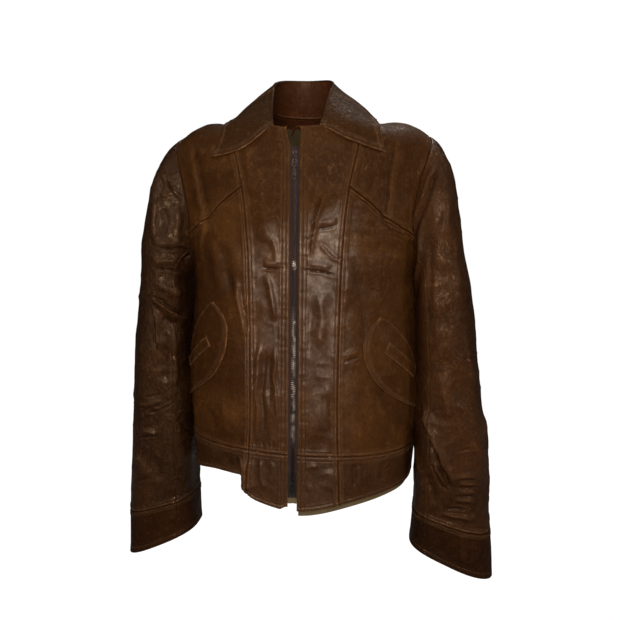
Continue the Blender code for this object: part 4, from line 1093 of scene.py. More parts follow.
def make_panel(panel, surface, thick, material, group, lift=0.0, extra=None, threads=True, keep=None):
    """Shapes a panel, adds its relief, makes its closed mesh and its rows of stitches."""
    shade["height"] = None
    points, out = surface(panel.a, panel.b, lift)
    h, wear_and_highlight, dark = panel.relief()
    wear_and_highlight, dark = wear_and_highlight + 0.0 * panel.u, dark + 0.0 * panel.u
    folds = shade["height"]
    if folds is not None and folds.shape == wear_and_highlight.shape and lift > -0.001 and "collar" not in panel.name:
        # painted shade in the valleys of the folds; the tops lighter, part real rub and part painted highlight
        folds = folds - soften(folds[..., None], 40, False)[..., 0]
        dark = dark + 0.34 * np.clip(-folds / 0.0016 - 0.14, 0, 1)
        wear_and_highlight = wear_and_highlight + 0.24 * np.clip(folds / 0.0016 - 0.12, 0, 1)
    n = normals_of(points)
    if (n * out).sum() < 0:
        n = -n
    points = points + n * h[..., None]
    if extra is not None:
        points, wear_and_highlight, dark = extra(panel, points, n, wear_and_highlight, dark)
    n2 = normals_of(points)
    flip = (n2 * out).sum() < 0
    grid = points[::-1] if flip else points
    verts, faces = shell_arrays(grid, thick)
    faces = outward_check(verts, faces)
    wear_and_highlight_g, dark_g = (wear_and_highlight[::-1], dark[::-1]) if flip else (wear_and_highlight, dark)
    obj = finish_mesh(panel.name, verts, faces, material,
                      wear_and_highlight=np.tile(wear_and_highlight_g.ravel(), 2), dark=np.tile(dark_g.ravel(), 2))
    if threads:
        for k, edge in enumerate(panel.edges):
            for s in edge.stitches:
                if edge.kind == "none":
                    continue
                i = panel.row(k, s)
                line = points[i] if k < 2 else points[:, i]
                way = n[i] if k < 2 else n[:, i]
                add_thread(group, line, way)
    if keep is not None:
        keep[panel.name] = (points, n)
    return obj


STITCH = 0.0031  # from one stitch to the next


def stitches_mesh(name, runs, material, pitch=STITCH, length=0.0023, wide=0.00034, high=0.00030):
    """Every stitch is a small grain of thread lying along its line."""
    centres, tangents, ups = [], [], []
    for points, outward, _ in runs:
        steps = np.linalg.norm(np.diff(points, axis=0), axis=1)
        keep = np.concatenate([[True], steps > 1e-7])
        points, outward = points[keep], outward[keep]
        way = np.concatenate([[0], np.cumsum(np.linalg.norm(np.diff(points, axis=0), axis=1))])
        if way[-1] < 3 * pitch:
            continue
        at = np.arange(pitch * 0.7, way[-1] - pitch * 0.5, pitch)
        c = np.stack([np.interp(at, way, points[:, k]) for k in range(3)], -1)
        e = np.stack([np.interp(at + length / 2, way, points[:, k]) for k in range(3)], -1)
        b = np.stack([np.interp(at - length / 2, way, points[:, k]) for k in range(3)], -1)
        o = np.stack([np.interp(at, way, outward[:, k]) for k in range(3)], -1)
        t = e - b
        good = np.linalg.norm(t, axis=1) > 1e-6
        c, t, o = c[good], t[good], o[good]
        t /= np.linalg.norm(t, axis=1, keepdims=True)
        o = o - t * (o * t).sum(1, keepdims=True)
        o /= np.linalg.norm(o, axis=1, keepdims=True)
        centres.append(c)
        tangents.append(t)
        ups.append(o)
    c, t, o = np.concatenate(centres), np.concatenate(tangents), np.concatenate(ups)
    s = np.cross(t, o)
    ring = [(0.0, 0.0, 0.0)]
    shape = [(-0.5, 0.0, -0.2)]
    for x, k in ((-0.30, 0.85), (0.30, 0.85)):
        for w, z in ((1, 0), (0, 1), (-1, 0), (0, -0.8)):
            shape.append((x, w * k * wide / length, z * k * high / length))
    shape.append((0.5, 0.0, -0.2))
    shape = np.array(shape)
    shape[0] = (-0.5, 0, -0.4 * high / length)
    shape[-1] = (0.5, 0, -0.4 * high / length)
    verts = (c[:, None] + shape[None, :, 0, None] * length * t[:, None]
             + shape[None, :, 1, None] * length * s[:, None]
             + (shape[None, :, 2, None] * length + high * 0.75) * o[:, None])
    one = []
    for k in range(4):
        m = (k + 1) % 4
        one += [(0, 1 + m, 1 + k), (1 + k, 1 + m, 5 + m), (1 + k, 5 + m, 5 + k), (5 + k, 5 + m, 9)]
    one = np.array(one)
    faces = (one[None] + 10 * np.arange(len(c))[:, None, None]).reshape(-1, 3)
    v = verts.reshape(-1, 3)
    a, b, d = v[faces[:, 0]], v[faces[:, 1]], v[faces[:, 2]]
    if ((np.cross(b - a, d - a) * (a - np.repeat(c, 16, 0))).sum()) < 0:
        faces = faces[:, ::-1]
    return finish_mesh(name, v, faces, material, sharp=80)


def tube_mesh(name, line, radius, material, sides=8, up=(0, 0, 1), flat=1.0):
    """A closed round strip along a line, flattened by flat."""
    line = np.asarray(line, float)
    t = np.gradient(line, axis=0)
    t /= np.linalg.norm(t, axis=1, keepdims=True)
    u = np.cross(t, np.asarray(up, float))
    u /= np.linalg.norm(u, axis=1, keepdims=True)
    w = np.cross(u, t)
    angles = np.linspace(0, 2 * math.pi, sides, endpoint=False)
    grid = (line[:, None] + radius * np.cos(angles)[None, :, None] * u[:, None]
            + radius * flat * np.sin(angles)[None, :, None] * w[:, None])
    verts = np.concatenate([grid.reshape(-1, 3), line[:1], line[-1:]])
    faces = []
    m = len(line)
    for i in range(m - 1):
        for k in range(sides):
            a, b = i * sides + k, i * sides + (k + 1) % sides
            faces.append((a, b, b + sides, a + sides))
    for k in range(sides):
        faces.append((m * sides, (k + 1) % sides, k, m * sides))
    tri = [(m * sides, (k + 1) % sides, k) for k in range(sides)]
    tri += [(m * sides + 1, (m - 1) * sides + k, (m - 1) * sides + (k + 1) % sides) for k in range(sides)]
    quads = faces[: (m - 1) * sides]
    return finish_mesh(name, verts, [list(f) for f in quads + tri], material)


# ---------------------------------------------------------------- materials
class Graph:
    """Short names for building a node material."""

    def __init__(self, name):
        self.mat = bpy.data.materials.new(name)
        self.mat.use_nodes = True
        self.tree = self.mat.node_tree
        self.bsdf = self.tree.nodes["Principled BSDF"]
        self.place = self.attribute("at", vector=True)

    def add(self, kind, **values):
        node = self.tree.nodes.new(kind)
        for key, value in values.items():
            setattr(node, key, value)
        return node

    def put(self, socket, value):
        if isinstance(value, bpy.types.NodeSocket):
            self.tree.links.new(value, socket)
        elif isinstance(value, (tuple, list)) and len(value) == 3 and socket.type == "RGBA":
            socket.default_value = (*value, 1)
        else:
            socket.default_value = value

    def attribute(self, name, vector=False):
        node = self.add("ShaderNodeAttribute", attribute_name=name)
        return node.outputs["Vector" if vector else "Fac"]

    def math(self, op, a, b=0.0, c=0.0, clamp=False):
        node = self.add("ShaderNodeMath", operation=op, use_clamp=clamp)
        for socket, value in zip(node.inputs, (a, b, c)):
            self.put(socket, value)
        return node.outputs[0]

    def scaled(self, scale, turn=(0, 0, 0), start=None):
        node = self.add("ShaderNodeMapping")
        self.put(node.inputs["Vector"], start or self.place)
        node.inputs["Scale"].default_value = scale
        node.inputs["Rotation"].default_value = turn
        return node.outputs[0]

    def noise(self, scale, detail=3.0, rough=0.55, vector=None, distortion=0.0):
        node = self.add("ShaderNodeTexNoise")
        self.put(node.inputs["Vector"], vector or self.place)
        node.inputs["Scale"].default_value = scale
        node.inputs["Detail"].default_value = detail
        node.inputs["Roughness"].default_value = rough
        node.inputs["Distortion"].default_value = distortion
        return node.outputs["Fac"]

    def cells(self, scale, feature="F1", vector=None, smoothness=0.3):
        node = self.add("ShaderNodeTexVoronoi", feature=feature)
        self.put(node.inputs["Vector"], vector or self.place)
        node.inputs["Scale"].default_value = scale
        if feature == "SMOOTH_F1":
            node.inputs["Smoothness"].default_value = smoothness
        return node.outputs["Distance"]

    def spread(self, value, low, high, to_low=0.0, to_high=1.0):
        node = self.add("ShaderNodeMapRange", interpolation_type="SMOOTHSTEP")
        self.put(node.inputs["Value"], value)
        for key, k in (("From Min", low), ("From Max", high), ("To Min", to_low), ("To Max", to_high)):
            self.put(node.inputs[key], k)
        return node.outputs["Result"]

    def blend(self, share, a, b, how="MIX"):
        node = self.add("ShaderNodeMix", data_type="RGBA", blend_type=how, clamp_factor=True)
        self.put(node.inputs["Factor"], share)
        self.put(node.inputs[6], a)
        self.put(node.inputs[7], b)
        return node.outputs[2]

    def bump(self, height, distance, strength=1.0, normal=None):
        node = self.add("ShaderNodeBump")
        self.put(node.inputs["Height"], height)
        node.inputs["Distance"].default_value = distance
        node.inputs["Strength"].default_value = strength
        if normal is not None:
            self.put(node.inputs["Normal"], normal)
        return node.outputs[0]

    def done(self, colour, rough, normal=None, metal=0.0, **more):
        self.put(self.bsdf.inputs["Base Color"], colour)
        self.put(self.bsdf.inputs["Roughness"], rough)
        self.put(self.bsdf.inputs["Metallic"], metal)
        if normal is not None:
            self.put(self.bsdf.inputs["Normal"], normal)
        for key, value in more.items():
            self.put(self.bsdf.inputs[key.replace("_", " ")], value)
        return self.mat


def leather(name, base, warm, deep, worn_and_highlight, rough=0.38, shift=0.0, polish=0.5, level=0.42, rub_and_highlight_share=0.55):
    """Aniline-dyed cowhide: cloudy colour, fine pebble grain, small creases with painted shade, polished high spots
    made lighter (part rub, part painted highlight), and painted shade in fold valleys, seam grooves and stitch holes.
    """
    g = Graph(name)
    move = g.scaled((1, 1, 1))
    g.tree.nodes[-1].inputs["Location"].default_value = (shift, shift * 0.7, -shift)
    cloud = g.noise(7.5, 4.0, 0.55, move, 0.6)
    patch = g.noise(24.0, 4.0, 0.6, move)
    speck = g.noise(240.0, 3.0, 0.6, move)
    mottle = g.noise(95.0, 4.0, 0.68, move, 0.5)
    colour = g.blend(g.spread(cloud, 0.36, 0.66), deep, base)
    colour = g.blend(g.math("MULTIPLY", g.spread(cloud, 0.52, 0.74), g.spread(patch, 0.36, 0.66)), colour, warm)
    colour = g.blend(g.spread(patch, 0.56, 0.80, 0.0, 0.42), colour, deep)
    colour = g.blend(g.spread(mottle, 0.50, 0.72, 0.0, 0.50), colour, deep)
    colour = g.blend(g.spread(mottle, 0.48, 0.26, 0.0, 0.45), colour, warm)
    colour = g.blend(g.spread(speck, 0.52, 0.80, 0.0, 0.18), colour, worn_and_highlight)
    # lighter on rubbed edges, swells, ridges and fold tops: part real rub, part painted highlight
    wear_and_highlight = g.attribute("wear_and_highlight")
    dark = g.attribute("dark")
    rub_and_highlight = g.math("MULTIPLY", wear_and_highlight, g.spread(g.noise(95.0, 3.0, 0.65, move), 0.34, 0.66, 0.25, 1.0))
    colour = g.blend(g.math("MULTIPLY", rub_and_highlight, rub_and_highlight_share, clamp=True), colour, worn_and_highlight)
    # painted shade in fold valleys, seam grooves and stitch holes
    colour = g.blend(g.math("MULTIPLY", dark, 0.80, clamp=True), colour, (0.010, 0.004, 0.002))
    # the belly is rubbed glossy, the back less so, the chest and yokes have stayed matt
    where = g.add("ShaderNodeSeparateXYZ")
    g.put(where.inputs[0], g.place)
    x, y, z = where.outputs
    belly = g.math("MULTIPLY", g.spread(g.math("ADD", z, g.math("MULTIPLY", x, -0.30)), -0.125, -0.175, 0.0, 1.0), g.spread(z, -0.50, -0.33, 0.45, 1.0))
    belly = g.math("MULTIPLY", belly, g.spread(g.math("ABSOLUTE", x), 0.055, 0.100, 1.0, 0.12))
    belly = g.math("MAXIMUM", belly, g.spread(y, -0.035, 0.015, 0.0, 0.55))
    shine = g.math("MULTIPLY", g.math("ADD", 0.03, g.math("MULTIPLY", belly, 0.97)), g.spread(patch, 0.32, 0.62, polish * 0.45, polish))
    shine = g.math("MULTIPLY", shine, g.spread(mottle, 0.34, 0.62, 1.0, 0.45))
    # grain: pebbles about a millimetre across, finer between, and short creases
    pebble = g.cells(820.0, "F1", move)
    fine = g.noise(1900.0, 2.0, 0.6, move)
    creases = g.noise(150.0, 4.0, 0.62, g.scaled((1.0, 1.0, 0.55), (0.2, 0.3, 0.1), move), 1.4)
    valley = g.math("ABSOLUTE", g.math("SUBTRACT", creases, 0.5))
    valley = g.spread(valley, 0.0, 0.085)
    soft = g.noise(46.0, 3.0, 0.5, move, 0.8)
    normal = g.bump(soft, 0.0022, 0.26)
    # painted shade along the short creases
    colour = g.blend(g.math("MULTIPLY", g.math("SUBTRACT", 1.0, valley), 0.42), colour, deep)
    normal = g.bump(mottle, 0.0012, 0.40, normal)
    normal = g.bump(valley, 0.00055, 0.70, normal)
    normal = g.bump(g.math("ADD", g.math("MULTIPLY", pebble, 0.8), g.math("MULTIPLY", fine, 0.35)), 0.00016, 0.55, normal)
    roughness = g.math("ADD", rough - 0.07, g.math("MULTIPLY", g.spread(patch, 0.3, 0.7), 0.16))
    roughness = g.math("SUBTRACT", roughness, g.math("MULTIPLY", rub_and_highlight, 0.06))
    roughness = g.math("ADD", roughness, g.spread(mottle, 0.35, 0.65, -0.04, 0.08))
    roughness = g.math("ADD", roughness, g.math("MULTIPLY", g.math("SUBTRACT", 1.0, valley), 0.10))
    return g.done(colour, roughness, normal, Coat_Weight=shine, Coat_Roughness=0.40, Coat_IOR=1.62, Coat_Tint=(1.0, 0.90, 0.82),
                  IOR=1.34, Specular_IOR_Level=level, Specular_Tint=(1.0, 0.72, 0.50))


BROWN = (0.074, 0.0312, 0.0086)
WARM = (0.126, 0.0560, 0.0138)
DEEP = (0.038, 0.0148, 0.0042)
WORN_AND_HIGHLIGHT = (0.250, 0.118, 0.044)
shell = leather("leather_body", BROWN, WARM, DEEP, WORN_AND_HIGHLIGHT, 0.42, 0.0, 0.95, 0.16)
# the sleeve leathers, the wearer's right one most, and the cuff leather are darker copies of the body leather: painted
# shade, darkest at the cuffs at the bottom
shell_sleeve = leather("leather_sleeve", (0.047, 0.0186, 0.0058), (0.074, 0.0290, 0.0084), (0.024, 0.0090, 0.0031), WORN_AND_HIGHLIGHT, 0.32, 0.37, 0.6, 0.52, 0.38)
shell_sleeve_right = leather("leather_sleeve_right", (0.031, 0.0116, 0.0034), (0.048, 0.0180, 0.0048), (0.016, 0.0060, 0.0019), WORN_AND_HIGHLIGHT, 0.29, 0.37, 0.6, 0.72, 0.32)
shell_cuff = leather("leather_cuff", (0.025, 0.0087, 0.0027), (0.038, 0.0132, 0.0037), (0.014, 0.0049, 0.0017), WORN_AND_HIGHLIGHT, 0.38, 0.52, 0.4, 0.26, 0.42)
shell_trim = leather("leather_trim", (0.057, 0.0236, 0.0072), (0.090, 0.0375, 0.0106), (0.030, 0.0116, 0.0037), WORN_AND_HIGHLIGHT, 0.34, 0.61, 0.9, 0.46)
shell_collar = leather("leather_collar", (0.043, 0.0190, 0.0064), (0.056, 0.0248, 0.0080), (0.028, 0.0118, 0.0042), (0.34, 0.19, 0.095), 0.54, 0.83, 0.1, 0.12, 0.9)
facing_leather = leather("leather_facing", (0.078, 0.0240, 0.0078), (0.115, 0.0370, 0.0110), (0.046, 0.0145, 0.0048), WORN_AND_HIGHLIGHT, 0.46, 0.19)


def thread_material():
    g = Graph("thread")
    twist = g.noise(900.0, 2.0, 0.5)
    colour = g.blend(g.spread(twist, 0.35, 0.65), (0.052, 0.024, 0.011), (0.120, 0.062, 0.030))
    return g.done(colour, 0.55, g.bump(twist, 0.0001, 0.6), Sheen_Weight=0.2)


def cloth_material(name, dark, light, pitch, rough=0.62, sheen=0.3):
    """Woven cloth: two crossed sets of threads over a slow change of shade."""
    g = Graph(name)
    lean = g.scaled((pitch, pitch, pitch), (0.0, math.radians(45), 0.0))
    across = g.add("ShaderNodeTexWave", wave_type="BANDS", bands_direction="X")
    g.put(across.inputs["Vector"], lean)
    across.inputs["Scale"].default_value = 1.0
    across.inputs["Distortion"].default_value = 0.6
    up = g.add("ShaderNodeTexWave", wave_type="BANDS", bands_direction="Z")
    g.put(up.inputs["Vector"], lean)
    up.inputs["Scale"].default_value = 1.0
    up.inputs["Distortion"].default_value = 0.6
    weave = g.math("MAXIMUM", across.outputs["Fac"], g.math("MULTIPLY", up.outputs["Fac"], 0.7))
    slow = g.noise(18.0, 3.0, 0.55)
    colour = g.blend(g.math("MULTIPLY", g.spread(slow, 0.3, 0.7), weave), dark, light)
    wrinkles = g.noise(40.0, 3.0, 0.5, None, 0.8)
    normal = g.bump(wrinkles, 0.002, 0.5)
    normal = g.bump(weave, 0.00015, 0.8, normal)
    colour = g.blend(g.math("MULTIPLY", g.attribute("dark"), 0.92), colour, (0.008, 0.007, 0.007))
    colour = g.blend(g.attribute("wear_and_highlight"), colour, (0.150, 0.122, 0.068))
    return g.done(colour, rough, normal, Sheen_Weight=sheen, Sheen_Roughness=0.4)


lining_cloth = cloth_material("lining_twill", (0.092, 0.070, 0.032), (0.165, 0.132, 0.066), 900.0, 0.55, 0.06)
pocket_cloth = cloth_material("pocket_cotton", (0.090, 0.076, 0.050), (0.160, 0.140, 0.100), 700.0, 0.8, 0.2)
tape_cloth = cloth_material("zip_tape_weave", (0.016, 0.0088, 0.0092), (0.036, 0.021, 0.022), 1100.0, 0.85, 0.08)


def metal_material(name, colour, tarnish, rough, amount=0.55, glint_colour=None):
    g = Graph(name)
    spots = g.noise(260.0, 4.0, 0.65)
    fine = g.noise(2600.0, 3.0, 0.6)
    mixed = g.blend(g.spread(spots, 0.62 - amount * 0.4, 0.80), colour, tarnish)
    # painted glints: lighter metal wherever the mark is set
    if glint_colour:
        mixed = g.blend(g.attribute("wear_and_highlight"), mixed, glint_colour)
    roughness = g.math("ADD", rough, g.math("MULTIPLY", spots, 0.18))
    normal = g.bump(g.math("ADD", g.math("MULTIPLY", spots, 0.6), g.math("MULTIPLY", fine, 0.3)), 0.00005, 0.5)
    return g.done(mixed, roughness, normal, metal=1.0)


# the teeth's last colour is their painted glint colour
teeth_metal = metal_material("zip_teeth_metal", (0.044, 0.031, 0.031), (0.018, 0.012, 0.013), 0.30, 0.75, (0.56, 0.52, 0.50))
slider_metal = metal_material("zip_slider_metal", (0.026, 0.021, 0.021), (0.012, 0.010, 0.010), 0.30, 0.7)
dark_metal = metal_material("zip_dark_metal", (0.030, 0.027, 0.026), (0.012, 0.010, 0.010), 0.34, 0.6)
thread = thread_material()


# ------------------------------------------------------------- body panels
def shares(a, b, u):
    return a + (b - a) * u


def torso_place(side):
    return lambda phi, t: torso(side * phi, np.clip(t, 0.002, 0.998))


def body_surface(side):
    return lambda phi, t, lift: body(side * phi, t, lift)


def neck_lean(t, side):
    """The front edges fall open a little above the zip, more on the wearer's right."""
    return (0.062 if side < 0 else 0.014) * smooth((t - 0.935) / 0.065)


def front_edge(side):
    return lambda t: centre_edge(t) + neck_lean(t, side)


def torso_piece(name, left, right, low, high, edges, material, side=1, lift=0.0, thick=0.0014, step=0.0020,
                step_v=None, threads=True, extra=None, nodes=None, group=None):
    """A panel between two seam curves (degrees round, by height) and two heights (by share across)."""

    def where(u, v):
        t = shares(low(u), high(u), v)
        return shares(left(t), right(t), u), t

    panel = Panel(name, where, torso_place(side), edges, step, step_v)
    obj = make_panel(panel, body_surface(side), thick, material, group or ("front" if edges else "front"), lift,
                     extra, threads)
    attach(obj, "jacket_body")
    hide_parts(*(nodes or [name]))
    return obj


def const(value):
    return lambda x: np.full_like(np.asarray(x, float), value)


def yoke_line(u):
    return along(YOKE, u)


seam = lambda *s: Edge("seam", s)
NONE = Edge("none")

for word, side in (("left", 1), ("right", -1)):
    group = f"{word}_front"
    torso_piece(f"{word}_centre_front", front_edge(side), princess, const(BAND_TOP), const(1.0),
                (Edge("fold", (0.0055, 0.0115), swell=0.0009, reach=0.0135), seam(0.0052), seam(0.0058),
                 Edge("fold", (), reach=0.004)), shell, side, step=0.0016, group=group)
    torso_piece(f"{word}_side_front", princess, arm_front, const(BAND_TOP), yoke_line,
                (seam(0.0052), seam(), seam(0.0058), Edge("piped", (0.0066,), drop=0.0006, reach=0.009)), shell, side,
                step=0.0018, group=group)
    torso_piece(f"{word}_front_yoke", princess, arm_front, yoke_line, const(1.0),
                (seam(0.0052), seam(), Edge("piped", (0.0066,), reach=0.009), seam()), shell, side, group=group)
    torso_piece(f"{word}_waistband_front", centre_edge, princess, const(0.0), const(BAND_TOP),
                (Edge("fold", (0.0055, 0.0115), swell=0.0007, reach=0.0135), seam(0.0050),
                 Edge("fold", (0.0062,), swell=0.0005), seam(0.0068)), shell_trim, side, lift=0.0010, thick=0.0024,
                group=group)
    torso_piece(f"{word}_waistband_side", princess, const(math.pi / 2), const(0.0), const(BAND_TOP),
                (seam(0.0050), seam(), Edge("fold", (0.0062,), swell=0.0005), seam(0.0068)), shell_trim, side,
                lift=0.0010, thick=0.0024, group=group)
    torso_piece(f"{word}_back_side", arm_back, const(math.radians(BACK_PRINCESS)), const(BAND_TOP), const(BACK_YOKE),
                (seam(), seam(0.0052), seam(0.0058), seam()), shell, side, step=0.0026, group="back")

far = 2 * math.pi - math.radians(BACK_PRINCESS)
torso_piece("back_centre", const(math.radians(BACK_PRINCESS)), const(far), const(BAND_TOP), const(BACK_YOKE),
            (seam(0.0052), seam(0.0052), seam(0.0058), seam()), shell, step=0.0026, group="back")
torso_piece("back_yoke", arm_back, lambda t: 2 * math.pi - arm_back(t), const(BACK_YOKE), const(1.0),
            (seam(), seam(), Edge("piped", (0.0066,), reach=0.009), seam()), shell, step=0.0026, group="back")
torso_piece("waistband_back", const(math.pi / 2), const(3 * math.pi / 2), const(0.0), const(BAND_TOP),
            (seam(), seam(), Edge("fold", (0.0062,), swell=0.0005), seam(0.0068)), shell_trim, lift=0.0010,
            thick=0.0024, step=0.0026, group="back")

# ------------------------------------------------------------ pocket patches
for word, side in (("left", 1), ("right", -1)):
    group = f"{word}_front"

    def on_leaf(u, v, side=side):
        phi, t = leaf(v, u)
        return phi, t - LEAF_DROP[side] * (1 - v)

    panel = Panel(f"{word}_pocket_patch", on_leaf, torso_place(side),
                  (Edge("fold", (0.0022, 0.0068), swell=0.0010, tone=1.5), Edge("fold", (0.0022,), swell=0.0008, tone=1.5), NONE, NONE), 0.0018)
    obj = make_panel(panel, body_surface(side), 0.0013, shell, group, 0.0017)
    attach(obj, "jacket_body")
    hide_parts(f"{word}_pocket_patch")

    def on_welt(u, v):
        w = 2 * u - 1
        return np.radians(shares(WELT_A[0], WELT_B[0], v) + 1.5 * w), shares(WELT_A[1], WELT_B[1], v) + 0.013 * w

    panel = Panel(f"{word}_pocket_welt", on_welt, torso_place(side),
                  (Edge("fold", (0.0020,), swell=0.0006, reach=0.004, tone=1.4), Edge("fold", (0.0020,), swell=0.0006, reach=0.004, tone=1.4),
                   Edge("fold", (0.0020,), reach=0.004), Edge("fold", (0.0020,), reach=0.004)), 0.0016)
    obj = make_panel(panel, body_surface(side), 0.0013, shell, group, 0.0033)
    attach(obj, "jacket_body")
    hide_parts(f"{word}_pocket_welt")
    torso_piece(f"{word}_pocket_bag", const(math.radians(38.0)), const(math.radians(80.0)), const(0.185), const(0.46),
                (NONE, NONE, NONE, NONE), pocket_cloth, side, lift=-0.0024, thick=0.0008, step=0.006,
                threads=False)


# ------------------------------------------------------- facings and lining
def hang_lower(amount):
    """The lining's hem shows under the leather's edge."""

    def extra(panel, points, n, wear_and_highlight, dark):
        drop = amount * (1 - smooth(panel.b / 0.03))
        points = points.copy()
        points[..., 2] -= drop
        points -= n * (0.0006 * (1 - smooth(panel.b / 0.03)))[..., None]
        return points, wear_and_highlight, dark

    return extra


def facing_edge(t):
    return np.radians(along(FACING, t))


for word, side in (("left", 1), ("right", -1)):
    torso_piece(f"{word}_front_facing", lambda t, side=side: front_edge(side)(t) + 0.004, facing_edge, const(0.012), const(0.990),
                (Edge("fold", (), reach=0.004, swell=0.0), NONE, NONE, Edge("fold", (), reach=0.004, swell=0.0)),
                facing_leather, side, lift=-0.0034, thick=0.0010, step=0.0034, threads=False)
    # on the wearer's left the lining's hem runs on behind the facing to the zip
    torso_piece(f"{word}_front_lining",
                lambda t, side=side: shares(facing_edge(t) + 0.012, front_edge(side)(t) + 0.012,
                                            (side > 0) * (1 - smooth((np.asarray(t) - 0.022) / 0.030))),
                lambda t: arm_front(t) - 0.004,
                const(0.0), const(0.985), (NONE, NONE, NONE, NONE), lining_cloth, side, lift=-0.0040, thick=0.0008,
                step=0.0040, threads=False, extra=hang_lower(0.0085 if side > 0 else 0.0006))
torso_piece("back_lining", lambda t: arm_back(t) + 0.004, lambda t: 2 * math.pi - arm_back(t) - 0.004, const(0.0),
            const(0.962), (NONE, NONE, NONE, NONE), lining_cloth, lift=-0.0040, thick=0.0008, step=0.0046,
            threads=False, extra=hang_lower(0.0008))
torso_piece("back_neck_facing", const(math.radians(118.0)), const(math.radians(242.0)), const(0.958), const(0.994),
            (NONE, NONE, Edge("fold", (0.003,), reach=0.005, swell=0.0003), NONE), facing_leather, lift=-0.0026,
            thick=0.0010, step=0.0026, group="back")


# ------------------------------------------------------------------ collar
# outer edge of the collar's leaf as the photo shows it: wearer's left, then wearer's right
LEAF_LINES = {
    1: ((28.0, 55.0, 0.885), (38.0, 55.2, 0.910), (48.0, 56.5, 0.931), (60.0, 61.0, 0.950), (70.0, 68.0, 0.965),
        (82.0, 82.0, 0.974), (95.0, 94.0, 0.974), (125.0, 122.0, 0.964), (155.0, 152.0, 0.953), (180.0, 180.0, 0.949)),
    -1: ((28.0, 54.2, 0.877), (38.0, 52.6, 0.903), (48.0, 52.3, 0.926), (60.0, 56.6, 0.948), (70.0, 66.0, 0.965),
         (82.0, 82.0, 0.974), (95.0, 94.0, 0.974), (125.0, 122.0, 0.964), (155.0, 152.0, 0.953), (180.0, 180.0, 0.949)),
}
LEAF_SAG = {1: 0.006, -1: 0.024}
ROLL = ((28.0, 0.0352, -0.0885, 0.5620), (48.0, 0.0408, -0.0650, 0.5890), (70.0, 0.0445, -0.0350, 0.6130),
        (95.0, 0.0468, -0.0030, 0.6295), (125.0, 0.0400, 0.0280, 0.6370), (155.0, 0.0220, 0.0480, 0.6400),
        (180.0, 0.0, 0.0540, 0.6405))


def fold_line(angle):
    angle = np.asarray(angle, float)
    line = np.stack([full_turn(ROLL, angle, 1, True), full_turn(ROLL, angle, 2, False),
                     full_turn(ROLL, angle, 3, False)], -1)
    # the wearer's left side of the collar lies a little flatter
    flat = np.exp(-((angle - 92.0) / 30.0) ** 2)[..., None]
    return line - flat * np.array([0.0030, 0.0, 0.0050])


def leaf_place(angle, v):
    """Where on the body a point of the leaf lies."""
    half = np.where(angle > 180, 360 - angle, angle)
    back = angle > 180
    line = [np.where(back, spline(half, column(LEAF_LINES[-1], 0), column(LEAF_LINES[-1], k)),
                     spline(half, column(LEAF_LINES[1], 0), column(LEAF_LINES[1], k))) for k in (1, 2)]
    edge = np.radians(np.where(back, 360 - line[0], line[0]))
    sag = np.where(back, LEAF_SAG[-1], LEAF_SAG[1]) * np.exp(-((half - 28) / 13) ** 2)
    return mix(np.radians(angle), edge, v), mix(0.996, line[1], v) - sag * np.sin(math.pi * v ** 0.8)


def leaf_point(angle, v, lift):
    """v is 0 on the roll and 1 on the leaf's outer edge."""
    half = np.where(angle > 180, 360 - angle, angle)
    phi, t = leaf_place(angle, v)
    rise = fold_line(angle) - torso(np.radians(angle), 0.996)
    steep = 1.6 + np.where(angle > 180, 0.5, 1.9) * smooth((half - 45) / 30) * smooth((140 - half) / 40)
    fade = ((1 - v) ** steep)[..., None]
    out = normals(torso, phi, t)
    return torso(phi, t) + rise * fade + out * (lift + 0.0016 * np.sin(math.pi * v)[..., None])


def collar_point(angle, v, lift):
    """The leaf, following the body below it, with its roll over the fold line for v below 0."""
    on = np.clip(v, 0, 1)
    p = leaf_point(angle, on, lift)
    phi, t = leaf_place(angle, on)
    under, n = body(phi, t)
    follow = under - torso(phi, np.clip(t, 0.002, 0.998))
    w = smooth(on / 0.45)
    p = p + follow * w[..., None]
    # soft waves in the leaf, and its points turn up a little
    p = p + n * (0.0011 * noise(p, 0.030, 91) * w)[..., None]
    turn = np.clip(-v, 0, None) / 0.14 * math.pi
    a = np.radians(angle)
    inward = np.stack([-np.sin(a), np.cos(a), 0 * a], -1)
    up = np.broadcast_to(np.array([0, 0, 1.0]), inward.shape)
    r = 0.0020
    return p + r * (np.sin(turn)[..., None] * up + (1 - np.cos(turn))[..., None] * inward), n


def collar_surface(angle, v, lift):
    p, n = collar_point(angle, v, lift)
    e = 0.25
    a = collar_point(angle + e, v, lift)[0] - collar_point(angle - e, v, lift)[0]
    b = collar_point(angle, np.minimum(v + 0.01, 1.0), lift)[0] - collar_point(angle, v - 0.01, lift)[0]
    out = np.cross(b, a)
    out /= np.maximum(np.linalg.norm(out, axis=-1, keepdims=True), 1e-12)
    flip = np.sign((out * n).sum(-1, keepdims=True).mean())
    return p, out * flip


def collar_piece(name, lo, hi, v0, edges, material, lift, thick, step=0.0018, group="collar", threads=True):
    where = lambda u, v: (shares(lo, hi, u), shares(v0, 1.0, v))
    panel = Panel(name, where, lambda a, v: collar_point(a, v, lift)[0], edges, step)
    obj = make_panel(panel, collar_surface, thick, material, group, lift, None, threads)
    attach(obj, "jacket_body")
    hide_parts(name)
    return obj


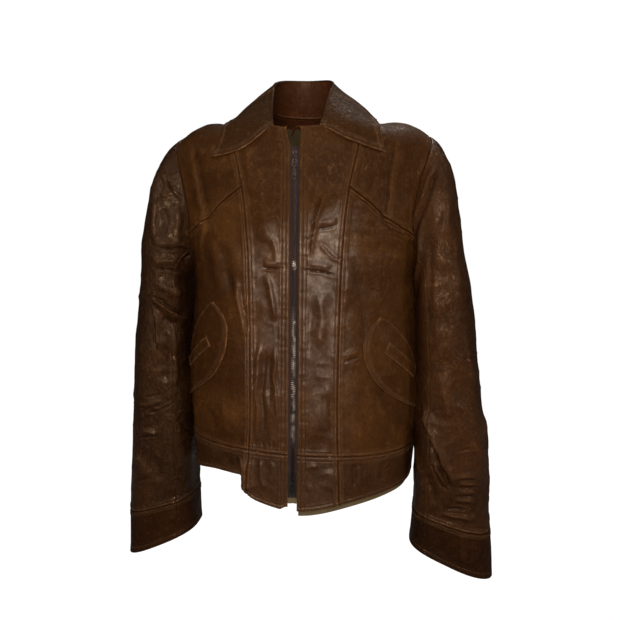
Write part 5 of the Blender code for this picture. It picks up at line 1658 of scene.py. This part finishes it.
outer = Edge("fold", (0.0074,), swell=0.0007, reach=0.009)
front = Edge("fold", (0.0066,), swell=0.0007, reach=0.0085)
leaf_seam = Edge("seam", (), drop=0.0008, swell=0.0004, reach=0.005)
collar_piece("collar_left_leaf", COLLAR_FRONT, COLLAR_SEAM, -0.14, (front, leaf_seam, NONE, outer), shell_collar, 0.0054, 0.0014)
collar_piece("collar_right_leaf", 360 - COLLAR_SEAM, 360 - COLLAR_FRONT, -0.14, (leaf_seam, front, NONE, outer), shell_collar, 0.0054, 0.0014)
collar_piece("collar_back_leaf", COLLAR_SEAM, 360 - COLLAR_SEAM, -0.14, (leaf_seam, leaf_seam, NONE, outer), shell_collar, 0.0054,
             0.0014, step=0.0024)
collar_piece("undercollar", COLLAR_FRONT + 1.2, 358.8 - COLLAR_FRONT, 0.04, (NONE, NONE, NONE, NONE), facing_leather,
             0.0034, 0.0012, step=0.0032, threads=False)


def stand_surface(angle, v, lift):
    a = np.radians(angle)
    foot = on_torso(a, 0.996, -0.0040) + np.array([0, 0, 0.0016])
    head = fold_line(angle)
    inward = np.stack([-np.sin(a), np.cos(a), 0 * angle], -1)
    rolled = collar_point(angle, np.full_like(np.asarray(angle, float), -0.14), 0.0054)[0]
    p = mix(foot, rolled - 0.0006 * inward + np.array([0, 0, 0.0004]), v[..., None])
    p = p + 0.0028 * np.sin(math.pi * v)[..., None] * inward
    p = p + inward * (0.0006 * noise(p, 0.02, 93))[..., None]
    return p, inward


panel = Panel("collar_stand", lambda u, v: (shares(COLLAR_FRONT + 2.5, 357.5 - COLLAR_FRONT, u), v),
              lambda a, v: stand_surface(a, v, 0)[0],
              (Edge("fold", (0.003,), reach=0.005, swell=0.0003), Edge("fold", (0.003,), reach=0.005, swell=0.0003),
               Edge("seam", (0.003,), reach=0.005, swell=0.0003), NONE), 0.0022)
stand = make_panel(panel, stand_surface, 0.0014, facing_leather, "collar")
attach(stand, "jacket_body")
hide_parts("collar_stand")


# ------------------------------------------------------------------ sleeves
ARMS = {}


def sleeve_piece(word, side, name, a0, a1, s0, s1, edges, material, lift, thick, step, threads=True):
    where = lambda u, v: (np.radians(shares(a0, a1, u)), shares(s0, s1, v))
    panel = Panel(name, where, lambda a, s: sleeve_place(a, s, side), edges, step)
    obj = make_panel(panel, lambda a, s, lift: arm(a, s, side, lift), thick, material, f"{word}_sleeve", lift, None, threads)
    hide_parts(name)
    ARMS.setdefault(word, []).append(obj)
    return obj


for word, side in (("left", 1), ("right", -1)):
    t = TOP_SLEEVE
    hide = shell_sleeve if side > 0 else shell_sleeve_right
    plain = Edge("seam", (), drop=0.0005, swell=0.0002, reach=0.005, tone=0.3)
    hole = Edge("seam", (), drop=0.0010, swell=0.0006, reach=0.007)
    sleeve_piece(word, side, f"{word}_top_sleeve", -t, t, 0.0, CUFF, (plain, plain, hole, seam(0.0045)),
                 hide, 0.0, 0.0014, 0.0019)
    sleeve_piece(word, side, f"{word}_under_sleeve", t, 360 - t, 0.0, CUFF, (plain, plain, hole, seam(0.0045)),
                 hide, 0.0, 0.0014, 0.0026)
    sleeve_piece(word, side, f"{word}_cuff", -360 + t, t, CUFF, 1.0, (plain, plain, seam(0.0050),
                 Edge("fold", (0.0090,), swell=0.0005, reach=0.011)), shell_cuff, 0.0006, 0.0024, 0.0022)
    sleeve_piece(word, side, f"{word}_sleeve_lining", 0.0, 360.0, 0.012, 0.978, (NONE, NONE, NONE, NONE),
                 lining_cloth, -0.0048, 0.0008, 0.0046, threads=False)



def armhole_tape(word, side):
    """The seam allowance round the armhole, lying under both panels."""
    angle = np.linspace(0, 2 * math.pi, 120, endpoint=False)
    rows = []
    middle, half = (ARM_LOW + ARM_TOP) / 2, (ARM_TOP - ARM_LOW) / 2
    for k in (1.09, 1.06, 1.03, 1.005):
        phi = math.pi / 2 - k * ARM_OPEN * np.sin(angle)
        rows.append(body(side * phi, middle + k * half * np.cos(angle), -0.0021)[0])
    for s in (0.004, 0.012, 0.022):
        p, n = arm(angle, np.full_like(angle, s), side, 0.0)
        rows.append(p - 0.0021 * n)
    grid = np.stack(rows, 1)
    verts, faces = shell_arrays(grid, 0.0008, ring=True)
    obj = finish_mesh(f"{word}_armhole_tape", verts, outward_check(verts, faces), shell_cuff)
    ARMS[word].append(obj)


armhole_tape("left", 1)
armhole_tape("right", -1)

# a short bar of stitches across the placket on the wearer's right
for k in (-1, 0, 1):
    phi, t = np.radians(np.linspace(-8.4, -3.6, 12)), np.full(12, 0.786 + 0.0011 * k)
    bar_points, bar_out = body(phi, t, 0.0002)
    add_thread("right_front", bar_points, bar_out)

# --------------------------------------------------------------- stitches
for group, runs in seams.items():
    obj = stitches_mesh(f"stitches_{group}", runs, thread)
    if group.endswith("sleeve"):
        ARMS[group.split("_")[0]].append(obj)
    else:
        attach(obj, "jacket_body")

for word, side in (("left", 1), ("right", -1)):
    shoulder = torso(*armhole(np.array(0.0))) * np.array([side, 1, 1]) - HANG
    for obj in ARMS[word]:
        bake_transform(obj)


# ---------------------------------------------------------------------- zip
def zip_grid(name, xs, zs, lift, thick, material):
    """A thin sheet in zip coordinates; lift may vary with x and z."""
    x, z = np.meshgrid(xs, zs, indexing="ij")
    points = on_zip(x, z, lift(x, z))
    verts, faces = shell_arrays(points, thick)
    obj = finish_mesh(name, verts, outward_check(verts, faces), material)
    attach(obj, "jacket_body")
    return obj


for word, side in (("left", 1), ("right", -1)):
    # the wearer's right tape passes a little behind the left one
    inner = 0.0003 if side > 0 else -0.0014
    xs = side * np.concatenate([np.linspace(inner, 0.0052, 14), np.linspace(0.0060, 0.0178, 8)])
    bead = lambda x, z: (TAPE_LIFT + 0.0003 - 0.0010 * (1 - smooth((np.abs(x) - 0.0022) / 0.0010))
                         + 0.0007 * np.exp(-((np.abs(x) - 0.0040) / 0.0006) ** 2)
                         + 0.00012 * np.sin(z * 1400.0) + 0.0001 * np.sin(z * 160.0 + side)
                         - 0.0012 * (side < 0) * smooth((x + 0.0006) / 0.0006))
    zs = np.arange(0.012, 0.536, 0.0011)
    obj = zip_grid(f"{word}_zip_tape", xs, zs, bead, 0.0006, tape_cloth)
    # the ends are stiffened with a black film, above a bare khaki end
    low = np.broadcast_to(zs, (len(xs), len(zs))).ravel()
    paint(obj.data, "dark", np.tile(smooth((0.060 - low) / 0.002) * smooth((low - 0.0215) / 0.0015), 2))
    paint(obj.data, "wear_and_highlight", np.tile(1 - smooth((low - 0.0195) / 0.0015), 2))
    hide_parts(f"{word}_zip_tape")

TOOTH = ((3.5, -0.50), (2.2, -0.56), (1.5, -0.34), (0.8, -0.62), (0.0, -0.68), (-0.55, -0.45), (-0.75, 0.0),
         (-0.55, 0.45), (0.0, 0.68), (0.8, 0.62), (1.5, 0.34), (2.2, 0.56), (3.5, 0.50))


def teeth_mesh(name, side, pitch=0.0030):
    outline = np.array(TOOTH) * 1e-3
    centre = outline.mean(0)
    layers = [(-0.00125, 0.84), (-0.00095, 1.0), (0.00095, 1.0), (0.00125, 0.84)]
    heights = np.arange(ZIP_LOW + 0.001 + (pitch / 2 if side < 0 else 0.0), ZIP_HIGH, pitch)
    m = len(outline)
    verts, faces = [], []
    for k, z in enumerate(heights):
        base = len(verts)
        for lift, size in layers:
            for x, h in (outline - centre) * size + centre:
                verts.append((side * x, z + h, TAPE_LIFT + 0.0002 + lift))
        for a in range(3):
            for b in range(m):
                c = (b + 1) % m
                q = [base + a * m + b, base + a * m + c, base + (a + 1) * m + c, base + (a + 1) * m + b]
                faces.append(q)
        faces.append([base + b for b in range(m)][::-1])
        faces.append([base + 3 * m + b for b in range(m)])
    v = np.array(verts)
    p = on_zip(v[:, 0], v[:, 1], v[:, 2])
    if side > 0:
        faces = [f[::-1] for f in faces]
    # painted glints: lighter, polished-looking metal in two stretches, broken into patches; dull elsewhere
    painted_glint = smooth((v[:, 1] - 0.356) / 0.004) * smooth((0.374 - v[:, 1]) / 0.004)
    painted_glint = painted_glint + smooth((v[:, 1] - 0.090) / 0.03) * smooth((0.308 - v[:, 1]) / 0.03)
    patches = smooth(0.5 + 0.9 * noise(np.stack([v[:, 1] * 0 + side, v[:, 1] * 0, v[:, 1]], -1), 0.006, 3))
    obj = finish_mesh(name, p, faces, teeth_metal, sharp=50, wear_and_highlight=painted_glint * (0.08 + 0.92 * patches))
    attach(obj, "jacket_body")
    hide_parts(name)
    return obj


teeth_mesh("left_zip_teeth", 1)
teeth_mesh("right_zip_teeth", -1)


def plate(outline, low, high, bevel=0.0003, holes=()):
    """A flat shape in zip coordinates with softened edges: outline of (x, z), low and high lift."""
    outline = np.array(outline, float)
    c = outline.mean(0)
    size = np.abs(outline - c).max()
    small = 1 - bevel / size
    rows = [(low, small), (low + bevel, 1.0), (high - bevel, 1.0), (high, small)]
    m = len(outline)
    verts, faces = [], []
    for lift, k in rows:
        for x, z in (outline - c) * k + c:
            verts.append((x, z, lift))
    for a in range(3):
        for b in range(m):
            d = (b + 1) % m
            faces.append([a * m + b, a * m + d, (a + 1) * m + d, (a + 1) * m + b])
    faces.append([b for b in range(m)][::-1])
    faces.append([3 * m + b for b in range(m)])
    return np.array(verts), faces


def rounded(points, radius, steps=5):
    """Rounds the corners of a polygon."""
    out = []
    count = len(points)
    for k in range(count):
        a, b, c = (np.array(points[(k + d) % count], float) for d in (-1, 0, 1))
        r = min(radius, np.linalg.norm(a - b) * 0.48, np.linalg.norm(c - b) * 0.48)
        p, q = b + (a - b) / np.linalg.norm(a - b) * r, b + (c - b) / np.linalg.norm(c - b) * r
        for s in np.linspace(0, 1, steps):
            out.append((1 - s) ** 2 * p + 2 * s * (1 - s) * b + s * s * q)
    return np.array(out)


def joined(name, shapes, material, node, body_name):
    verts, faces = [], []
    for v, f in shapes:
        start = sum(len(k) for k in verts)
        world = on_zip(v[:, 0], v[:, 1], v[:, 2])
        a = world - world.mean(0)
        volume = 0.0
        for face in f:
            for k in range(1, len(face) - 1):
                volume += np.dot(np.cross(a[face[0]], a[face[k]]), a[face[k + 1]])
        if volume < 0:
            f = [face[::-1] for face in f]
        verts.append(world)
        faces += [[int(k) + start for k in face] for face in f]
    obj = finish_mesh(name, np.concatenate(verts), faces, material, sharp=35)
    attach(obj, body_name)
    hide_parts(node)
    return obj


HALF = 0.0062
LOW, HIGH = SLIDER_AT - HALF, SLIDER_AT + HALF
FRONT = (TAPE_LIFT + 0.0018, TAPE_LIFT + 0.0032)
REAR = (TAPE_LIFT - 0.0032, TAPE_LIFT - 0.0018)
BAIL = FRONT[1] + 0.0014
shape = rounded([(-0.0034, LOW), (0.0034, LOW), (0.0040, SLIDER_AT - 0.001), (0.0046, SLIDER_AT + 0.002),
                 (0.0044, HIGH), (0.0008, HIGH), (0.0, HIGH - 0.0012), (-0.0008, HIGH), (-0.0044, HIGH),
                 (-0.0046, SLIDER_AT + 0.002), (-0.0040, SLIDER_AT - 0.001)], 0.0010, 4)
arch = []
for k, a in enumerate(np.linspace(0, math.pi, 13)):
    arch.append((SLIDER_AT + 0.0005 + 0.0034 * math.cos(a), FRONT[1] - 0.0004 + 0.0027 * math.sin(a)))


def arch_shape(width=0.0011, thick=0.0007):
    """The bridge over the pull tab's bar, as a bent strip."""
    mid_z, mid_l = SLIDER_AT + 0.0005, FRONT[1] - 0.0004
    verts, faces = [], []
    for z, l in arch:
        way = np.array([z - mid_z, l - mid_l])
        way /= max(np.linalg.norm(way), 1e-9)
        for r, x in ((0, -width), (0, width), (-thick, width), (-thick, -width)):
            verts.append((x / 1.6, z + way[0] * r, l + way[1] * r))
    for k in range(len(arch) - 1):
        for m in range(4):
            a, b = k * 4 + m, k * 4 + (m + 1) % 4
            faces.append([a, b, b + 4, a + 4])
    faces.append([3, 2, 1, 0])
    last = (len(arch) - 1) * 4
    faces.append([last, last + 1, last + 2, last + 3])
    return np.array(verts), faces


def bar(x, z, lift, bevel=0.0002):
    return plate(rounded([(x[0], z[0]), (x[1], z[0]), (x[1], z[1]), (x[0], z[1])], 0.0003, 3), lift[0], lift[1], bevel)


joined("zip_slider_body", [
    plate(shape, FRONT[0], FRONT[1], 0.0004),
    plate(shape, REAR[0], REAR[1], 0.0003),
    bar((0.0037, 0.0045), (LOW + 0.0005, HIGH - 0.0004), (TAPE_LIFT + 0.0006, FRONT[0] + 0.0004)),
    bar((-0.0045, -0.0037), (LOW + 0.0005, HIGH - 0.0004), (TAPE_LIFT + 0.0006, FRONT[0] + 0.0004)),
    bar((-0.0004, 0.0004), (SLIDER_AT + 0.001, HIGH - 0.0012), (REAR[1] - 0.0003, FRONT[0] + 0.0003)),
    arch_shape(),
], slider_metal, "zip_slider_body", "zip_slider")


def ring_plate(outer, inner, low, high, bevel=0.0002):
    """A plate with one hole; both outlines have the same number of points."""
    outer, inner = np.array(outer), np.array(inner)
    co, ci = outer.mean(0), inner.mean(0)
    so, si = 1 - bevel / np.abs(outer - co).max(), 1 + bevel / np.abs(inner - ci).max()
    rows = [((outer - co) * so + co, low), (outer, low + bevel), (outer, high - bevel), ((outer - co) * so + co, high),
            ((inner - ci) * si + ci, high), (inner, high - bevel), (inner, low + bevel), ((inner - ci) * si + ci, low)]
    m = len(outer)
    verts = np.array([(x, z, lift) for row, lift in rows for x, z in row])
    faces = []
    for a in range(8):
        for b in range(m):
            c, d = (b + 1) % m, (a + 1) % 8
            faces.append([a * m + b, a * m + c, d * m + c, d * m + b])
    return verts, faces


def oval(cx, cz, rx, rz, count=24, power=2.0):
    a = np.linspace(0, 2 * math.pi, count, endpoint=False)
    c, s = np.cos(a), np.sin(a)
    return np.stack([cx + rx * np.sign(c) * np.abs(c) ** (2 / power), cz + rz * np.sign(s) * np.abs(s) ** (2 / power)], -1)


top, foot = SLIDER_AT + 0.0011, SLIDER_AT - 0.0245
eye = ring_plate(oval(0, SLIDER_AT - 0.0027, 0.0026, 0.0038, 28, 3.0), oval(0, SLIDER_AT - 0.0027, 0.0015, 0.0025, 28, 3.0),
                 BAIL - 0.0005, BAIL + 0.0005)
neck = bar((-0.0017, 0.0017), (SLIDER_AT - 0.0115, SLIDER_AT - 0.0060), (BAIL - 0.0004, BAIL + 0.0004))
tag = ring_plate(oval(0, SLIDER_AT - 0.0175, 0.0027, 0.0070, 32, 4.0), oval(0, SLIDER_AT - 0.0198, 0.0013, 0.0025, 32, 3.0),
                 BAIL - 0.00055, BAIL + 0.00055, 0.00025)
rib = bar((-0.0012, 0.0012), (SLIDER_AT - 0.0158, SLIDER_AT - 0.0150), (BAIL + 0.0004, BAIL + 0.0008))
rib2 = bar((-0.0012, 0.0012), (SLIDER_AT - 0.0142, SLIDER_AT - 0.0134), (BAIL + 0.0004, BAIL + 0.0008))
joined("zip_pull_tab", [eye, neck, tag, rib, rib2], slider_metal, "zip_pull_tab", "pull_tab")

# small zip parts keep their CAD shape, with softened edges and a real finish
for node, finish in (("left_top_stop", teeth_metal), ("right_top_stop", teeth_metal), ("zip_insertion_pin", dark_metal),
                     ("zip_retaining_box", dark_metal)):
    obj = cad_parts[node]
    soften_edges = obj.modifiers.new("edges", "BEVEL")
    soften_edges.width = 0.0003
    soften_edges.segments = 2
    obj.data.materials.clear()
    obj.data.materials.append(finish)


# ---------------------------------------------------------------- hang loop
def loop_surface(a, v, lift):
    """A narrow strap across the back of the neck; a runs along it and v across."""
    keys = np.array([0, 0.16, 0.30, 0.38, 0.62, 0.70, 0.84, 1.0])
    xs = np.array([-0.029, -0.027, -0.0215, -0.017, 0.017, 0.0215, 0.027, 0.029])
    zs = np.array([-0.016, -0.008, -0.0015, 0.0, 0.0, -0.0015, -0.008, -0.016])
    x, z = np.interp(a, keys, xs), np.interp(a, keys, zs)
    x, z = spline(a, keys, xs), np.minimum(spline(a, keys, zs), 0.0)
    p = np.stack([x, HANG[1] + 0.004 * (2 * v - 1), HANG[2] + z + 0.0016], -1)
    return p, np.broadcast_to(np.array([0, 0, 1.0]), p.shape)


panel = Panel("hang_loop", lambda u, v: (u, v), lambda a, v: loop_surface(a, v, 0)[0],
              (NONE, NONE, Edge("fold", (0.0014,), reach=0.003, swell=0.0), Edge("fold", (0.0014,), reach=0.003, swell=0.0)), 0.0012)
seams.clear()
loop = make_panel(panel, loop_surface, 0.0016, facing_leather, "loop")
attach(loop, "jacket_body")
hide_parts("hang_loop")
obj = stitches_mesh("stitches_loop", seams["loop"], thread, pitch=0.0026, length=0.0019, wide=0.00028, high=0.00022)
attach(obj, "jacket_body")


# ------------------------------------------------------------ light and view
def area(name, at, aim, size, power, colour=(1, 1, 1), shiny=True):
    light = bpy.data.lights.new(name, "AREA")
    light.shape = "RECTANGLE"
    light.size, light.size_y = size
    light.energy = power
    light.color = colour
    obj = bpy.data.objects.new(name, light)
    obj.location = at
    obj.rotation_euler = (Vector(aim) - Vector(at)).to_track_quat("-Z", "Y").to_euler()
    bpy.context.scene.collection.objects.link(obj)
    obj.visible_camera = False
    obj.visible_glossy = shiny  # the lights behind give no white rims
    return obj


area("front", (0.30, -1.80, 0.85), (0, 0, -0.15), (0.38, 0.30), 9.0, (1.0, 0.96, 0.92))
area("glint", (0.12, -2.30, 0.14), (0, 0, -0.30), (1.10, 0.70), 32.0, (1.0, 0.79, 0.60))
area("key_left", (-1.9, -0.9, 1.15), (-0.15, 0, 0.0), (0.5, 0.6), 9, (1.0, 0.86, 0.73))
area("key_right", (2.0, -1.0, 0.45), (0, 0, -0.20), (0.4, 0.9), 14, (1.0, 0.88, 0.78))
area("top", (0.1, -0.5, 2.0), (0, 0, -0.2), (0.8, 0.6), 7)
area("back", (0.10, 2.1, -0.25), (0, 0, -0.30), (0.7, 0.8), 15, (1.0, 0.95, 0.90), shiny=False)
area("back_top", (0.5, 1.6, 2.1), (0, 0, -0.3), (0.8, 0.7), 27, (1.0, 0.93, 0.86))
area("back_left", (-1.9, 1.5, 0.7), (0, 0, -0.3), (0.5, 0.8), 9, (1.0, 0.95, 0.90), shiny=False)

world = bpy.data.worlds.new("studio")
bpy.context.scene.world = world
world.use_nodes = True
tree = world.node_tree
tree.nodes.clear()
out = tree.nodes.new("ShaderNodeOutputWorld")
pick = tree.nodes.new("ShaderNodeMixShader")
path = tree.nodes.new("ShaderNodeLightPath")
dim, seen = tree.nodes.new("ShaderNodeBackground"), tree.nodes.new("ShaderNodeBackground")
dim.inputs["Color"].default_value = (1.0, 0.93, 0.86, 1)
dim.inputs["Strength"].default_value = 0.035
seen.inputs["Color"].default_value = (1, 1, 1, 1)
seen.inputs["Strength"].default_value = 1.0
tree.links.new(path.outputs["Is Camera Ray"], pick.inputs[0])
tree.links.new(dim.outputs[0], pick.inputs[1])
tree.links.new(seen.outputs[0], pick.inputs[2])
tree.links.new(pick.outputs[0], out.inputs["Surface"])

# a pale floor that curves up into a pale wall far behind
profile = [(-4.0, 0.0)] + [(2.6 + 1.6 * math.sin(a), 1.6 - 1.6 * math.cos(a)) for a in np.linspace(0, math.pi / 2, 14)] + [(4.2, 6.0)]
FLOOR = -0.98
verts = [(x, y, FLOOR + z) for y, z in profile for x in (-8.0, 8.0)]
floor_mesh = bpy.data.meshes.new("floor")
floor_mesh.from_pydata(verts, [], [(2 * k, 2 * k + 1, 2 * k + 3, 2 * k + 2) for k in range(len(profile) - 1)])
floor_mesh.shade_smooth()
floor = link("floor", floor_mesh)
mat = bpy.data.materials.new("floor")
mat.use_nodes = True
nodes, links = mat.node_tree.nodes, mat.node_tree.links
bsdf = nodes["Principled BSDF"]
bsdf.inputs["Base Color"].default_value = (0.12, 0.12, 0.12, 1)
bsdf.inputs["Roughness"].default_value = 0.9
bsdf.inputs["Specular IOR Level"].default_value = 0.1
glow, seen_by, both = nodes.new("ShaderNodeEmission"), nodes.new("ShaderNodeLightPath"), nodes.new("ShaderNodeAddShader")
strength = nodes.new("ShaderNodeMath")
strength.operation = "MULTIPLY"
strength.inputs[1].default_value = 1.0  # only the camera sees the glow
links.new(seen_by.outputs["Is Camera Ray"], strength.inputs[0])
links.new(strength.outputs[0], glow.inputs["Strength"])
links.new(bsdf.outputs[0], both.inputs[0])
links.new(glow.outputs[0], both.inputs[1])
links.new(both.outputs[0], nodes["Material Output"].inputs["Surface"])
floor_mesh.materials.append(mat)

view = bpy.context.scene.view_settings
view.view_transform = "Standard"
view.look = "None"

camera = bpy.data.objects.new("camera", bpy.data.cameras.new("camera"))
camera.data.sensor_width = 36.0
camera.data.lens = 820.0 / 620.0 * 36.0
camera.data.shift_x = 5.0 / 620.0
camera.data.clip_start = 0.05
yaw, pitch = math.radians(8.0), math.radians(8.4)
camera.location = Vector((1.30 * math.sin(yaw), -1.30 * math.cos(yaw), 0.475)) - Vector(HANG)
forward = Vector((-math.sin(yaw) * math.cos(pitch), math.cos(yaw) * math.cos(pitch), -math.sin(pitch)))
camera.rotation_euler = forward.to_track_quat("-Z", "Y").to_euler()
bpy.context.scene.collection.objects.link(camera)
bpy.context.scene.camera = camera
